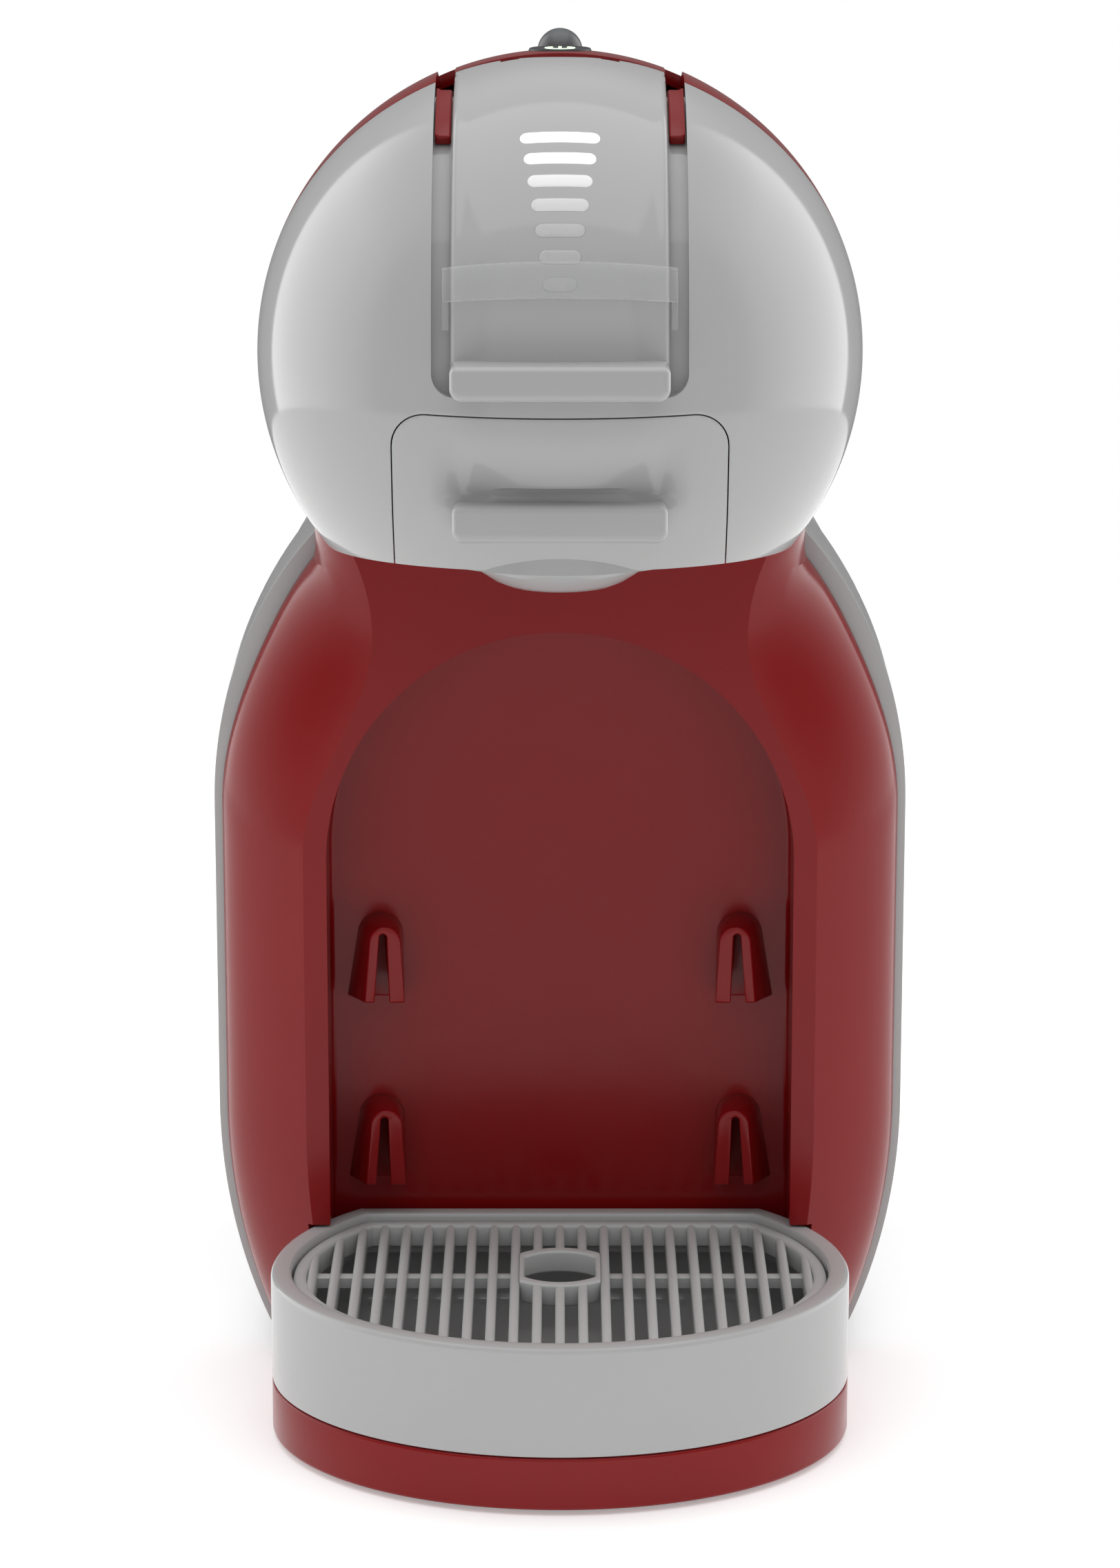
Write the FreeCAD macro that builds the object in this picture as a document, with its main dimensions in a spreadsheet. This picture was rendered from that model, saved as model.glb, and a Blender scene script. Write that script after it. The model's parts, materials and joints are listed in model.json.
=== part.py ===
import FreeCAD, Part

import math
import os

# Pod coffee machine: millimetres, +Z up, +Y to the rear, origin under the middle of the machine.
os.makedirs("parts", exist_ok=True)
doc = FreeCAD.newDocument("pod_coffee_machine")
Vector = FreeCAD.Vector

# ---------------------------------------------------------------- driving dimensions
DIMENSIONS = (
    ("clearance", 0.3),
    ("wall", 2.6),
    # body: the widest line is the belt; shoulders and skirt are elliptical
    ("belt_half_width", 80.0),
    ("front_step_in", 3.0),
    ("rim_inset", 8.0),
    ("rim_thickness", 2.4),
    ("neck_step_in", 2.6),
    ("belt_low", 60.0),
    ("belt_high", 131.0),
    ("skirt_height", 106.0),
    ("shoulder_height", 88.0),
    ("lean_start", 172.0),
    ("lean_reach", 44.0),
    ("seam_plane", -15.0),
    ("face_plane", -40.0),
    ("rear_plane", 64.0),
    ("back_plane", 120.0),
    ("face_half_width", 57.4),
    ("waist_half_width", 41.4),
    ("waist_level", 174.0),
    ("cheek_turn", 38.0),
    ("cheek_pull", 0.42),
    ("neck_half_width", 55.0),
    ("front_shell_top", 200.0),
    ("rear_shell_top", 213.5),
    # cup bay
    ("bay_half_width", 52.2),
    ("bay_arch_level", 123.0),
    ("bay_depth", 18.0),
    ("hook_spread", 41.3),
    ("hook_width", 11.0),
    ("hook_drop", 18.0),
    ("hook_reach", 11.0),
    ("hook_wall", 2.6),
    ("hook_low", 46.0),
    ("hook_high", 89.0),
    # base and drip tray
    ("foot_height", 1.2),
    ("foot_radius", 7.0),
    ("foot_front_x", 44.0),
    ("foot_front_y", -84.0),
    ("foot_rear_x", 52.0),
    ("foot_rear_y", 92.0),
    ("base_plate_thickness", 3.0),
    ("band_top", 12.8),
    ("tray_half_width", 64.0),
    ("tray_centre", -67.1),
    ("tray_front_depth", 52.9),
    ("tray_rear_depth", 60.0),
    ("tray_rear_edge", -25.5),
    ("tray_top", 37.4),
    ("tray_floor", 2.4),
    ("tray_rim", 4.6),
    ("tray_wall", 2.2),
    ("grid_drop", 1.6),
    ("grid_thickness", 5.0),
    ("grid_frame", 3.0),
    ("grid_pitch", 5.0),
    ("grid_slot", 2.9),
    ("grid_hub", 13.0),
    ("grid_hub_half_width", 9.05),
    ("grid_hole", 10.2),
    ("grid_hole_half_width", 7.9),
    ("grid_hub_y", -62.0),
    # head
    ("head_radius", 66.0),
    ("head_y", -35.0),
    ("head_z", 236.8),
    ("head_cut", 195.0),
    ("head_wall", 2.8),
    ("head_seam_y", -36.7),
    ("head_seam_z", 257.2),
    ("head_seam_tilt", 15.0),
    # handle
    ("handle_half_width", 22.5),
    ("groove_half_width", 26.5),
    ("channel_radius", 55.0),
    ("channel_floor", 2.2),
    ("handle_radius", 65.4),
    ("handle_thickness", 3.6),
    ("handle_pivot_y", -46.0),
    ("handle_pivot_z", 297.3),
    ("handle_barrel", 4.0),
    ("handle_pin", 1.2),
    ("ear_start", 9.0),
    ("ear_width", 3.4),
    ("ear_wall", 0.8),
    ("lip_height", 7.2),
    ("lip_sink", 0.6),
    ("lip_reach", 8.1),
    ("bar_pitch", 5.09),
    ("bar_first", 19.7),
    ("bar_wide", 8.3),
    ("bar_step", 0.79),
    ("bar_height", 3.0),
    ("slider_height", 7.4),
    ("slider_wall", 1.3),
    ("slider_gap", 0.4),
    ("slider_arm", 6.0),
    ("button_radius", 6.8),
    ("button_y", -31.5),
    ("button_height", 2.2),
    ("bridge_top", 302.2),
    ("flank_sink", 6.2),
    ("flank_end", -69.0),
    ("ball_radius", 5.0),
    ("ball_y", -8.0),
    ("ball_z", 300.0),
    ("selector_pivot_z", 274.0),
    ("selector_stem", 1.8),
    ("gate_z", 289.5),
    ("selector_travel", 10.0),
    # capsule drawer
    ("drawer_half_width", 34.9),
    ("drawer_top", 231.6),
    ("drawer_corner", 7.5),
    ("drawer_wall", 2.6),
    ("drawer_floor", 2.4),
    ("cup_radius", 27.5),
    ("cup_y", -61.0),
    ("cup_depth", 27.0),
    ("cup_wall", 1.8),
    ("pull_half_width", 22.3),
    ("pull_low", 206.6),
    ("pull_high", 213.4),
    ("pull_reach", 8.0),
    ("spout_drop", 4.8),
    ("spout_half_width", 26.0),
    ("spout_rear", -41.0),
    ("spout_bore", 3.2),
    ("plate_radius", 25.0),
    ("plate_thickness", 4.0),
    ("plate_gap", 1.4),
    ("needle_radius", 1.4),
    ("boss_radius", 7.0),
    ("boss_height", 25.0),
    ("guide_z", 243.0),
    ("guide_height", 6.0),
    ("frame_y", -22.0),
    ("frame_thickness", 3.0),
    # water tank
    ("tank_gap", 1.2),
    ("tank_wall", 2.2),
    ("tank_floor_z", 20.0),
    ("tank_top", 176.0),
    ("tank_lid_top", 205.0),
    ("tank_corner_reach", 44.0),
    ("valve_radius", 4.0),
    ("valve_x", 0.0),
    # works
    ("chassis_y", 26.0),
    ("chassis_thickness", 3.0),
    ("chassis_half_width", 52.0),
    ("chassis_top", 193.0),
    ("pump_radius", 13.0),
    ("pump_length", 74.0),
    ("pump_x", -30.0),
    ("pump_y", 4.0),
    ("pump_z", 32.0),
    ("coil_side", 44.0),
    ("coil_height", 34.0),
    ("heater_radius", 18.0),
    ("heater_height", 62.0),
    ("heater_x", 26.0),
    ("heater_y", 3.0),
    ("heater_z", 84.0),
    ("hose_radius", 3.0),
    ("board_thickness", 1.6),
    ("board_half_width", 34.0),
    ("board_low", 60.0),
    ("board_high", 150.0),
    ("post_radius", 2.5),
    ("post_length", 6.0),
    ("post_inset", 6.0),
    ("gland_x", 30.0),
    ("gland_z", 12.0),
    ("gland_radius", 5.5),
    ("gland_bore", 3.4),
    ("gland_length", 11.8),
    ("screw_radius", 3.0),
    ("screw_spread", 36.0),
)

sheet = doc.addObject("Spreadsheet::Sheet", "Dimensions")
for row, (alias, value) in enumerate(DIMENSIONS, start=1):
    sheet.set("A%d" % row, alias)
    sheet.set("B%d" % row, str(value))
    sheet.setAlias("B%d" % row, alias)
doc.recompute()


def size(alias):
    """A driving dimension, read from the sheet."""
    return float(sheet.get(alias))


# ---------------------------------------------------------------- document helpers
ALIASES = sorted((alias for alias, value in DIMENSIONS), key=len, reverse=True)
nodes = {}


def formula(text):
    """An expression in which each bare alias is read from the sheet."""
    words = []
    word = ""
    for letter in str(text) + " ":
        if letter.isalnum() or letter == "_":
            word += letter
            continue
        words.append("Dimensions." + word if word in ALIASES else word)
        words.append(letter)
        word = ""
    return "".join(words).strip()


def bind(thing, name, text):
    thing.setExpression(name, formula(text))


def place(thing, corner, rotation=None):
    if rotation:
        axis, angle = rotation
        thing.Placement = FreeCAD.Placement(Vector(), FreeCAD.Rotation(axis, angle))
    for letter, text in zip("xyz", corner):
        bind(thing, "Placement.Base." + letter, text)


def box(name, sides, corner, rotation=None):
    thing = doc.addObject("Part::Box", name)
    for side, text in zip(("Length", "Width", "Height"), sides):
        bind(thing, side, text)
    place(thing, corner, rotation)
    return thing


def wide_box(name, half_width, near, far, low, high):
    """A box symmetric about the machine's middle plane."""
    return box(name, ("2 * (%s)" % half_width, "(%s) - (%s)" % (far, near), "(%s) - (%s)" % (high, low)),
               ("-(%s)" % half_width, near, low))


TURNS = {"x": (Vector(0, 1, 0), 90), "y": (Vector(1, 0, 0), -90), "z": None}


def rod(name, radius, length, start, along="z"):
    """A cylinder that starts at a point and runs along +X, +Y or +Z."""
    thing = doc.addObject("Part::Cylinder", name)
    bind(thing, "Radius", radius)
    bind(thing, "Height", length)
    place(thing, start, TURNS[along])
    return thing


def globe(name, radius, centre):
    thing = doc.addObject("Part::Sphere", name)
    bind(thing, "Radius", radius)
    place(thing, centre)
    return thing


def cone(name, low_radius, high_radius, height, start, along="z"):
    thing = doc.addObject("Part::Cone", name)
    bind(thing, "Radius1", low_radius)
    bind(thing, "Radius2", high_radius)
    bind(thing, "Height", height)
    place(thing, start, TURNS[along])
    return thing


def join(name, *pieces):
    thing = doc.addObject("Part::MultiFuse", name)
    thing.Shapes = list(pieces)
    thing.Refine = True
    return thing


def overlap(name, *pieces):
    thing = doc.addObject("Part::MultiCommon", name)
    thing.Shapes = list(pieces)
    return thing


def cut(name, base, *tools):
    thing = doc.addObject("Part::Cut", name)
    thing.Base = base
    thing.Tool = tools[0] if len(tools) == 1 else join(name + "_tools", *tools)
    return thing


def shaped(name, shape):
    """A piece whose outline follows a curve: its shape is made from the sheet's sizes."""
    thing = doc.addObject("Part::Feature", name)
    thing.Shape = shape
    thing.Placement = FreeCAD.Placement()
    return thing


def node(label, thing):
    """Names a finished sub-part."""
    thing.Label = label
    nodes[label] = thing
    return thing


# ---------------------------------------------------------------- body shape
def ellipse_share(distance, reach):
    return math.sqrt(max(0.0, 1.0 - (distance / reach) ** 2))


def belt_share(level):
    """Width of the body at a level, as a share of its width at the belt."""
    if level < size("belt_low"):
        return ellipse_share(size("belt_low") - level, size("skirt_height"))
    if level > size("belt_high"):
        return ellipse_share(level - size("belt_high"), size("shoulder_height"))
    return 1.0


def ease(value):
    """A smooth step from 0 to 1."""
    value = min(1.0, max(0.0, value))
    return value * value * (3.0 - 2.0 * value)


def seam_half_width(level):
    """Half width of the front shell where it meets the rear shell."""
    rise = ease((level - size("belt_high")) / (size("waist_level") - size("belt_high")))
    width = size("belt_half_width") * belt_share(level) - size("front_step_in") - size("neck_step_in") * rise
    return max(width, size("neck_half_width"))


def face_half_width_at(level):
    """Half width of the flat face round the cup bay: it narrows to a waist under the head."""
    rise = ease((level - size("belt_high") + 6.0) / (size("waist_level") - size("belt_high") + 6.0))
    width = size("face_half_width") - (size("face_half_width") - size("waist_half_width")) * rise
    if level > size("waist_level"):
        width += 0.012 * (level - size("waist_level")) ** 2
    return width * belt_share(level) if level < size("belt_low") else width


def curve(*points):
    bend = Part.BezierCurve()
    bend.setPoles([Vector(*point) for point in points])
    return bend.toShape()


def line(start, end):
    return Part.LineSegment(Vector(*start), Vector(*end)).toShape()


def front_section(level, inset):
    """Plan outline of the front shell: seam, two rounded cheeks and the flat face."""
    seam = seam_half_width(level) - inset
    face = face_half_width_at(level) - inset * 0.4
    back = size("seam_plane")
    front = size("face_plane") + inset
    turn = math.radians(size("cheek_turn"))
    pull = size("cheek_pull") * math.hypot(seam - face, back - front)
    left = [(-seam, back, level), (-seam + 0.2, back - 9.0, level),
            (-face - pull * math.cos(turn), front + pull * math.sin(turn), level), (-face, front, level)]
    right = [(point[0] * -1.0, point[1], point[2]) for point in reversed(left)]
    return Part.Wire([curve(*left), line(left[-1], right[0]), curve(*right), line(right[-1], left[0])])


def rear_depth(level, plane, start):
    """How far back a shell reaches at a level: the shoulders lean forward."""
    share = 1.0
    if level > size("lean_start"):
        share = ellipse_share(level - size("lean_start"), size("lean_reach"))
    return start + (plane - start) * (0.25 + 0.75 * share)


def rear_section(level, inset):
    """Plan outline of the rear shell, from the seam to the flat wall behind which the tank stands."""
    half = size("belt_half_width") * belt_share(level) - inset
    seam = half - 1.2
    front = size("seam_plane") + size("clearance")
    back = rear_depth(level, size("rear_plane"), size("seam_plane")) - inset
    middle = front + 0.35 * (back - front)
    left = [(-seam, front, level), (-half - 0.9, middle, level), (-half + 1.5, back - 12.0, level),
            (-half + 6.0, back, level)]
    right = [(point[0] * -1.0, point[1], point[2]) for point in reversed(left)]
    return Part.Wire([curve(*left), line(left[-1], right[0]), curve(*right), line(right[-1], left[0])])


def tank_section(level, inset):
    """Plan outline of the water tank: a flat front wall and a round back."""
    half = (size("belt_half_width") - 2.4) * belt_share(level) - inset
    front = size("rear_plane") + size("tank_gap") + inset
    back = rear_depth(level, size("back_plane"), size("rear_plane")) - inset
    reach = size("tank_corner_reach") * (back - front) / (size("back_plane") - size("rear_plane"))
    left = [(-half + 3.0, front, level), (-half - 2.0, front + 0.35 * reach, level),
            (-half + 4.0, back, level), (0.0, back, level)]
    right = [(point[0] * -1.0, point[1], point[2]) for point in reversed(left)]
    return Part.Wire([curve(*left), curve(*right), line(right[-1], left[0])])


def loft(section, levels, inset=0.0):
    return Part.makeLoft([section(level, inset) for level in levels], True, False)


def levels_between(low, high, stops):
    return [low] + [stop for stop in stops if low + 3.0 < stop < high - 3.0] + [high]


BODY_STOPS = (20.0, 40.0, 60.0, 95.0, 131.0, 143.0, 155.0, 166.0, 177.0, 187.0, 196.0, 205.0)


# ---------------------------------------------------------------- base outline
def base_outline(inset, level):
    """Plan outline of the tray and the band under it: an oval with its back cut straight."""
    centre = Vector(0, size("tray_centre"), level)
    half = size("tray_half_width") - inset
    front = size("tray_front_depth") - inset
    rear = size("tray_rear_depth") - inset
    edge = size("tray_rear_edge") - inset
    swing = math.asin((edge - size("tray_centre")) / rear)

    def oval(depth, first, last):
        if depth <= half:
            return Part.ArcOfEllipse(Part.Ellipse(centre, half, depth), first, last).toShape()
        tall = Part.Ellipse(centre + Vector(0, depth, 0), centre - Vector(half, 0, 0), centre)
        return Part.ArcOfEllipse(tall, first - math.pi / 2, last - math.pi / 2).toShape()

    front_arc = oval(front, math.pi, 2 * math.pi)
    right_arc = oval(rear, 0.0, swing)
    left_arc = oval(rear, math.pi - swing, math.pi)
    reach = half * math.cos(swing)
    back = line((reach, edge, level), (-reach, edge, level))
    return Part.Wire(Part.__sortEdges__([front_arc, right_arc, back, left_arc]))


def base_prism(inset, low, high):
    return Part.Face(base_outline(inset, low)).extrude(Vector(0, 0, high - low))


# ---------------------------------------------------------------- head tools
def head_side_box(name, front, shift="0"):
    """Everything in front of, or behind, the leaning seam of the head."""
    tilt = "head_seam_tilt * 1deg"
    near = "-300" if front else "0"
    thing = box(name, ("400", "300", "600"), ("0", "0", "0"), (Vector(1, 0, 0), size("head_seam_tilt")))
    bind(thing, "Placement.Rotation.Angle", tilt)
    bind(thing, "Placement.Base.x", "-200")
    bind(thing, "Placement.Base.y",
         "head_seam_y + (%s) + (%s) * cos(%s) + 300 * sin(%s)" % (shift, near, tilt, tilt))
    bind(thing, "Placement.Base.z", "head_seam_z + (%s) * sin(%s) - 300 * cos(%s)" % (near, tilt, tilt))
    return thing


def head_ball(name, radius):
    return globe(name, radius, ("0", "head_y", "head_z"))


def head_drum(name, radius, half_width):
    """A drum about the head's cross axis."""
    return rod(name, radius, "2 * (%s)" % half_width, ("-(%s)" % half_width, "head_y", "head_z"), "x")


def upright_plate(half_width, low, high, low_radius, high_radius, near, far):
    """A plate across the machine with rounded corners, running from near to far along Y."""
    edges = []
    w, a, b = half_width, low_radius, high_radius

    def arc(centre_x, centre_z, radius, start):
        middle = math.radians(start + 45.0)
        end = math.radians(start + 90.0)
        first = math.radians(start)
        points = [Vector(centre_x + radius * math.cos(t), near, centre_z + radius * math.sin(t))
                  for t in (first, middle, end)]
        edges.append(Part.Arc(*points).toShape())

    def straight(x1, z1, x2, z2):
        if abs(x1 - x2) + abs(z1 - z2) > 1e-6:
            edges.append(line((x1, near, z1), (x2, near, z2)))

    straight(w, low + a, w, high - b)
    if b:
        arc(w - b, high - b, b, 0.0)
    straight(w - b, high, -w + b, high)
    if b:
        arc(-w + b, high - b, b, 90.0)
    straight(-w, high - b, -w, low + a)
    if a:
        arc(-w + a, low + a, a, 180.0)
    straight(-w + a, low, w - a, low)
    if a:
        arc(w - a, low + a, a, 270.0)
    return Part.Face(Part.Wire(edges)).extrude(Vector(0, far - near, 0))


# ================================================================ body
head_room = cut("head_room", head_ball("head_room_ball", "head_radius + clearance"),
                box("head_room_floor", ("400", "400", "200"), ("-200", "-200", "head_cut - clearance - 200")))
doc.recompute()


def make_front_shell():
    levels = levels_between(size("foot_height") + size("base_plate_thickness") + size("clearance"),
                            size("front_shell_top"), BODY_STOPS)
    outer = loft(front_section, levels)
    inner = loft(front_section, levels, size("wall"))
    shell = shaped("front_shell_skin", outer.cut(inner))
    bay = shaped("front_bay_opening", bay_prism(0.0, size("face_plane") - 5.0, size("face_plane") + 8.0))
    spare = 2 * size("clearance")
    nest = shaped("front_tray_nest", base_prism(-spare, 0.0, size("tray_top") + spare))
    return node("body_front_shell", cut("body_front_shell_body", shell, head_room, bay, nest))


def bay_outline(inset, depth, low):
    half = size("bay_half_width") - inset
    level = size("bay_arch_level")
    top = Vector(0, depth, level + half)
    arch = Part.Arc(Vector(half, depth, level), top, Vector(-half, depth, level)).toShape()
    return Part.Wire([line((half, depth, low), (half, depth, level)), arch,
                      line((-half, depth, level), (-half, depth, low)), line((-half, depth, low), (half, depth, low))])


def bay_prism(inset, near, far, low=0.0):
    return Part.Face(bay_outline(inset, near, low)).extrude(Vector(0, far - near, 0))


def hook_shape(side, low):
    """An upright loop with an open foot that leans inward at its top."""
    x = side * size("hook_spread")
    half = size("hook_width") / 2
    near = size("face_plane") + size("bay_depth") - size("hook_reach")
    top = low + size("hook_drop")
    shoulder = half * 0.62
    crown = top - shoulder

    def loop(grow, level_drop):
        foot, neck = half - grow, shoulder - grow
        start = Vector(x + foot, near, low - level_drop)
        end = Vector(x - foot, near, low - level_drop)
        right = Vector(x + neck, near, crown)
        left = Vector(x - neck, near, crown)
        arch = Part.Arc(right, Vector(x, near, crown + neck), left).toShape()
        edges = [Part.LineSegment(start, right).toShape(), arch, Part.LineSegment(left, end).toShape(),
                 Part.LineSegment(end, start).toShape()]
        return Part.Face(Part.Wire(edges))

    reach = size("hook_reach") + size("clearance")
    solid = loop(0.0, 0.0).extrude(Vector(0, reach, 0))
    return solid.cut(loop(size("hook_wall"), 1.0).extrude(Vector(0, reach - size("hook_wall"), 0)))


def make_bay_liner():
    """The arched recess that a cup stands in, with four hooks for the tray."""
    gap, wall = size("clearance"), size("wall")
    front = size("face_plane") + wall + gap
    back = size("face_plane") + size("bay_depth")
    low = size("band_top") + 2 * gap
    outer = bay_prism(-wall, front, back + wall, low)
    liner = outer.cut(bay_prism(0.0, front - 1.0, back, low - 1.0))
    liner = liner.cut(base_prism(-2 * gap, 0.0, size("tray_top") + 2 * gap))
    for low_end in ("hook_low", "hook_high"):
        for side in (-1, 1):
            liner = liner.fuse(hook_shape(side, size(low_end)))
    return node("bay_liner", shaped("bay_liner_body", liner.removeSplitter()))


def make_rear_shell():
    gap, wall = size("clearance"), size("wall")
    low = size("foot_height") + size("base_plate_thickness") + gap
    levels = levels_between(low, size("rear_shell_top"), BODY_STOPS)
    outer = loft(rear_section, levels)
    inner_levels = levels_between(low - 2.0, size("rear_shell_top") - wall, BODY_STOPS)
    inner = loft(rear_section, inner_levels, wall)
    mouth = inner.copy()
    mouth.translate(Vector(0, -2 * wall, 0))
    rim = outer.cut(loft(rear_section, inner_levels, size("rim_inset"))).common(
        Part.makeBox(400.0, size("rim_thickness"), 400.0, Vector(-200.0, size("seam_plane"), 0.0)))
    skin = shaped("rear_shell_skin", outer.cut(inner).cut(mouth).fuse(rim))
    inlet = rod("rear_inlet_hole", "6.5", "20", ("46", "rear_plane - 10", "14"), "y")
    dock = rod("rear_dock_hole", "valve_radius + 3", "20", ("valve_x", "rear_plane - 10", "tank_floor_z - 9"), "y")
    return node("rear_shell", cut("rear_shell_body", skin, head_room, inlet, dock))


make_front_shell()
make_bay_liner()
make_rear_shell()

# ================================================================ base
gap = size("clearance")
low = size("foot_height")


def make_base():
    band = base_prism(0.0, low, size("band_top"))
    band = band.cut(base_prism(size("wall"), low - 1.0, size("band_top") - size("wall")))
    passage = Part.makeBox(400.0, 60.0, size("base_plate_thickness") + gap + 1.0,
                           Vector(-200.0, size("face_plane") - 1.0, low - 1.0))
    band = band.cut(passage)
    node("base_band", shaped("base_band_body", band))

    plate = base_prism(size("wall") + gap, low, low + size("base_plate_thickness"))
    levels = [low, low + size("base_plate_thickness")]
    plate = plate.fuse(loft(rear_section, levels)).fuse(loft(front_section, levels))
    bridge = Part.makeBox(2 * size("neck_half_width"), 12.0, size("base_plate_thickness"),
                          Vector(-size("neck_half_width"), size("seam_plane") - 6.0, low))
    ledge = loft(tank_section, levels)
    joint = Part.makeBox(100.0, 12.0, size("base_plate_thickness"), Vector(-50.0, size("rear_plane") - 6.0, low))
    plate = plate.fuse([bridge, ledge, joint]).removeSplitter()
    node("base_plate", shaped("base_plate_body", plate))

    feet = []
    for pair in ("front", "rear"):
        for side, sign in (("left", "-"), ("right", "")):
            spot = (sign + "foot_%s_x" % pair, "foot_%s_y" % pair, "0")
            feet.append(rod("foot_%s_%s" % (pair, side), "foot_radius", "foot_height", spot))
    for number, foot in enumerate(feet, start=1):
        node("foot_%d" % number, foot)


make_base()


def chopped_disc(radius, half_width):
    """A tall disc on the grid's hub axis with its two sides cut flat."""
    disc = Part.makeCylinder(radius, 40.0, Vector(0, size("grid_hub_y"), 0))
    return disc.common(Part.makeBox(2 * half_width, 4 * radius, 40.0,
                                    Vector(-half_width, size("grid_hub_y") - 2 * radius, 0)))


def make_drip_tray():
    bottom, top = size("band_top") + gap, size("tray_top")
    tray = base_prism(0.0, bottom, top)
    tray = tray.cut(base_prism(size("tray_wall"), bottom + size("tray_floor"), top + 1.0))
    shelf = top - size("grid_drop") - size("grid_thickness")
    ledge = base_prism(size("tray_wall") - 0.2, shelf - 2.0, top)
    ledge = ledge.cut(base_prism(size("tray_rim") + 2.0, shelf - 3.0, shelf + 1.0))
    ledge = ledge.cut(base_prism(size("tray_rim"), shelf, top + 1.0))
    node("drip_tray", shaped("drip_tray_body", tray.fuse(ledge).removeSplitter()))

    rim = size("tray_rim") + gap
    grid_top = top - size("grid_drop")
    plate = base_prism(rim, grid_top - size("grid_thickness"), grid_top)
    field = base_prism(rim + size("grid_frame"), grid_top - size("grid_thickness") - 1.0, grid_top + 1.0)
    pitch, slot = size("grid_pitch"), size("grid_slot")
    count = int((size("tray_half_width") - rim - size("grid_frame")) / pitch) + 1
    hub = chopped_disc(size("grid_hub"), size("grid_hub_half_width"))
    slots = []
    for index in range(-count, count):
        x = (index + 0.5) * pitch - slot / 2
        slots.append(Part.makeBox(slot, 130.0, 40.0, Vector(x, -130.0, 0)))
    slots = field.common(Part.makeCompound(slots)).cut(hub)
    rib = Part.makeBox(140.0, 3.0, size("grid_thickness") * 0.55,
                       Vector(-70.0, size("grid_hub_y") - 1.5, grid_top - size("grid_thickness")))
    hole = chopped_disc(size("grid_hole"), size("grid_hole_half_width"))
    grid = plate.cut(slots)
    grid = grid.fuse(rib.common(plate)).cut(hole).removeSplitter()
    node("drip_grid", shaped("drip_grid_body", grid))


make_drip_tray()

# ================================================================ head
channel_cut = wide_box("channel_cut", "groove_half_width", "-140", "0", "head_z - lip_sink - 2 * clearance", "330")
drawer_opening = shaped("drawer_opening", upright_plate(
    size("drawer_half_width") + gap, size("head_cut") - 10.0, size("drawer_top") + gap, 0.0,
    size("drawer_corner"), -140.0, size("cup_y") + size("cup_radius") + size("cup_wall") + 3.0))


def make_head_front():
    ball = head_ball("head_front_ball", "head_radius")
    hollow = head_ball("head_front_hollow", "head_radius - head_wall")
    under = box("head_front_under", ("400", "400", "200"), ("-200", "-200", "head_cut - 200"))
    floor = overlap("head_floor", head_ball("head_floor_ball", "head_radius"),
                    box("head_floor_slab", ("400", "400", "head_wall"), ("-200", "-200", "head_cut")))
    shell = cut("head_front_shell", ball, hollow, under)
    whole = join("head_front_whole", shell, floor)
    front = overlap("head_front_half", whole, head_side_box("head_front_side", True))
    return node("head_front", cut("head_front_body", front, channel_cut, drawer_opening))


def make_head_collar():
    ball = head_ball("head_collar_ball", "head_radius")
    hollow = head_ball("head_collar_hollow", "head_radius - head_wall")
    under = box("head_collar_under", ("400", "400", "200"), ("-200", "-200", "head_cut - 200"))
    shell = cut("head_collar_shell", ball, hollow, under)
    rear = overlap("head_collar_half", shell, head_side_box("head_collar_side", False, "clearance"))
    notch = wide_box("head_collar_notch", "groove_half_width", "-80", "ball_y - 12", "head_z", "330")
    slot = wide_box("head_collar_slot", "selector_travel + ball_radius", "ball_y - ball_radius - 2 * clearance",
                    "ball_y + ball_radius + 2 * clearance", "head_z", "330")
    return node("head_collar", cut("head_collar_body", rear, notch, slot))


def make_bridge():
    """The fixed middle piece on the crown: it carries the power button, the handle's ears and the sunken flanks."""
    reach = "handle_pivot_y + handle_barrel + 2 * clearance"
    rear = "ball_y - 12 - clearance"
    crown = overlap("bridge_crown", head_ball("bridge_dome", "bridge_top - head_z"),
                    wide_box("bridge_block", "handle_half_width", reach, rear, "head_z", "330"))
    pieces = [crown]
    for side, start in (("left", "-groove_half_width + clearance"), ("right", "handle_half_width + clearance")):
        width = "groove_half_width - handle_half_width - 2 * clearance"
        strip = box("flank_block_" + side, (width, "(%s) - flank_end" % rear, "100"),
                    (start, "flank_end", "head_z"))
        drum = head_drum("flank_drum_" + side, "head_radius - flank_sink", "100")
        pieces.append(overlap("flank_" + side, drum, strip))
    sink = wide_box("bridge_sink", "groove_half_width - clearance", reach, rear, "head_z", "330")
    sink_drum = head_drum("bridge_sink_drum", "head_radius - flank_sink", "100")
    pieces.append(overlap("bridge_sink_part", sink_drum, sink))
    for side, start in (("left", "-ear_start - ear_width"), ("right", "ear_start")):
        pieces.append(rod("ear_" + side, "handle_pin + ear_wall", "ear_width",
                          (start, "handle_pivot_y", "handle_pivot_z"), "x"))
        pieces.append(box("ear_web_" + side, ("ear_width", "handle_barrel + 4", "handle_pin + ear_wall"),
                          (start, "handle_pivot_y", "handle_pivot_z - handle_pin - ear_wall")))
    bore = rod("ear_bore", "handle_pin + 0.04", "200", ("-100", "handle_pivot_y", "handle_pivot_z"), "x")
    hollow = head_drum("bridge_hollow", "channel_radius + channel_floor + clearance", "100")
    well = rod("bridge_well", "button_radius + clearance", "20", ("0", "button_y", "bridge_top - button_height - 1"))
    return node("head_bridge", cut("head_bridge_body", join("bridge_whole", *pieces), hollow, well, bore))


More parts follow.
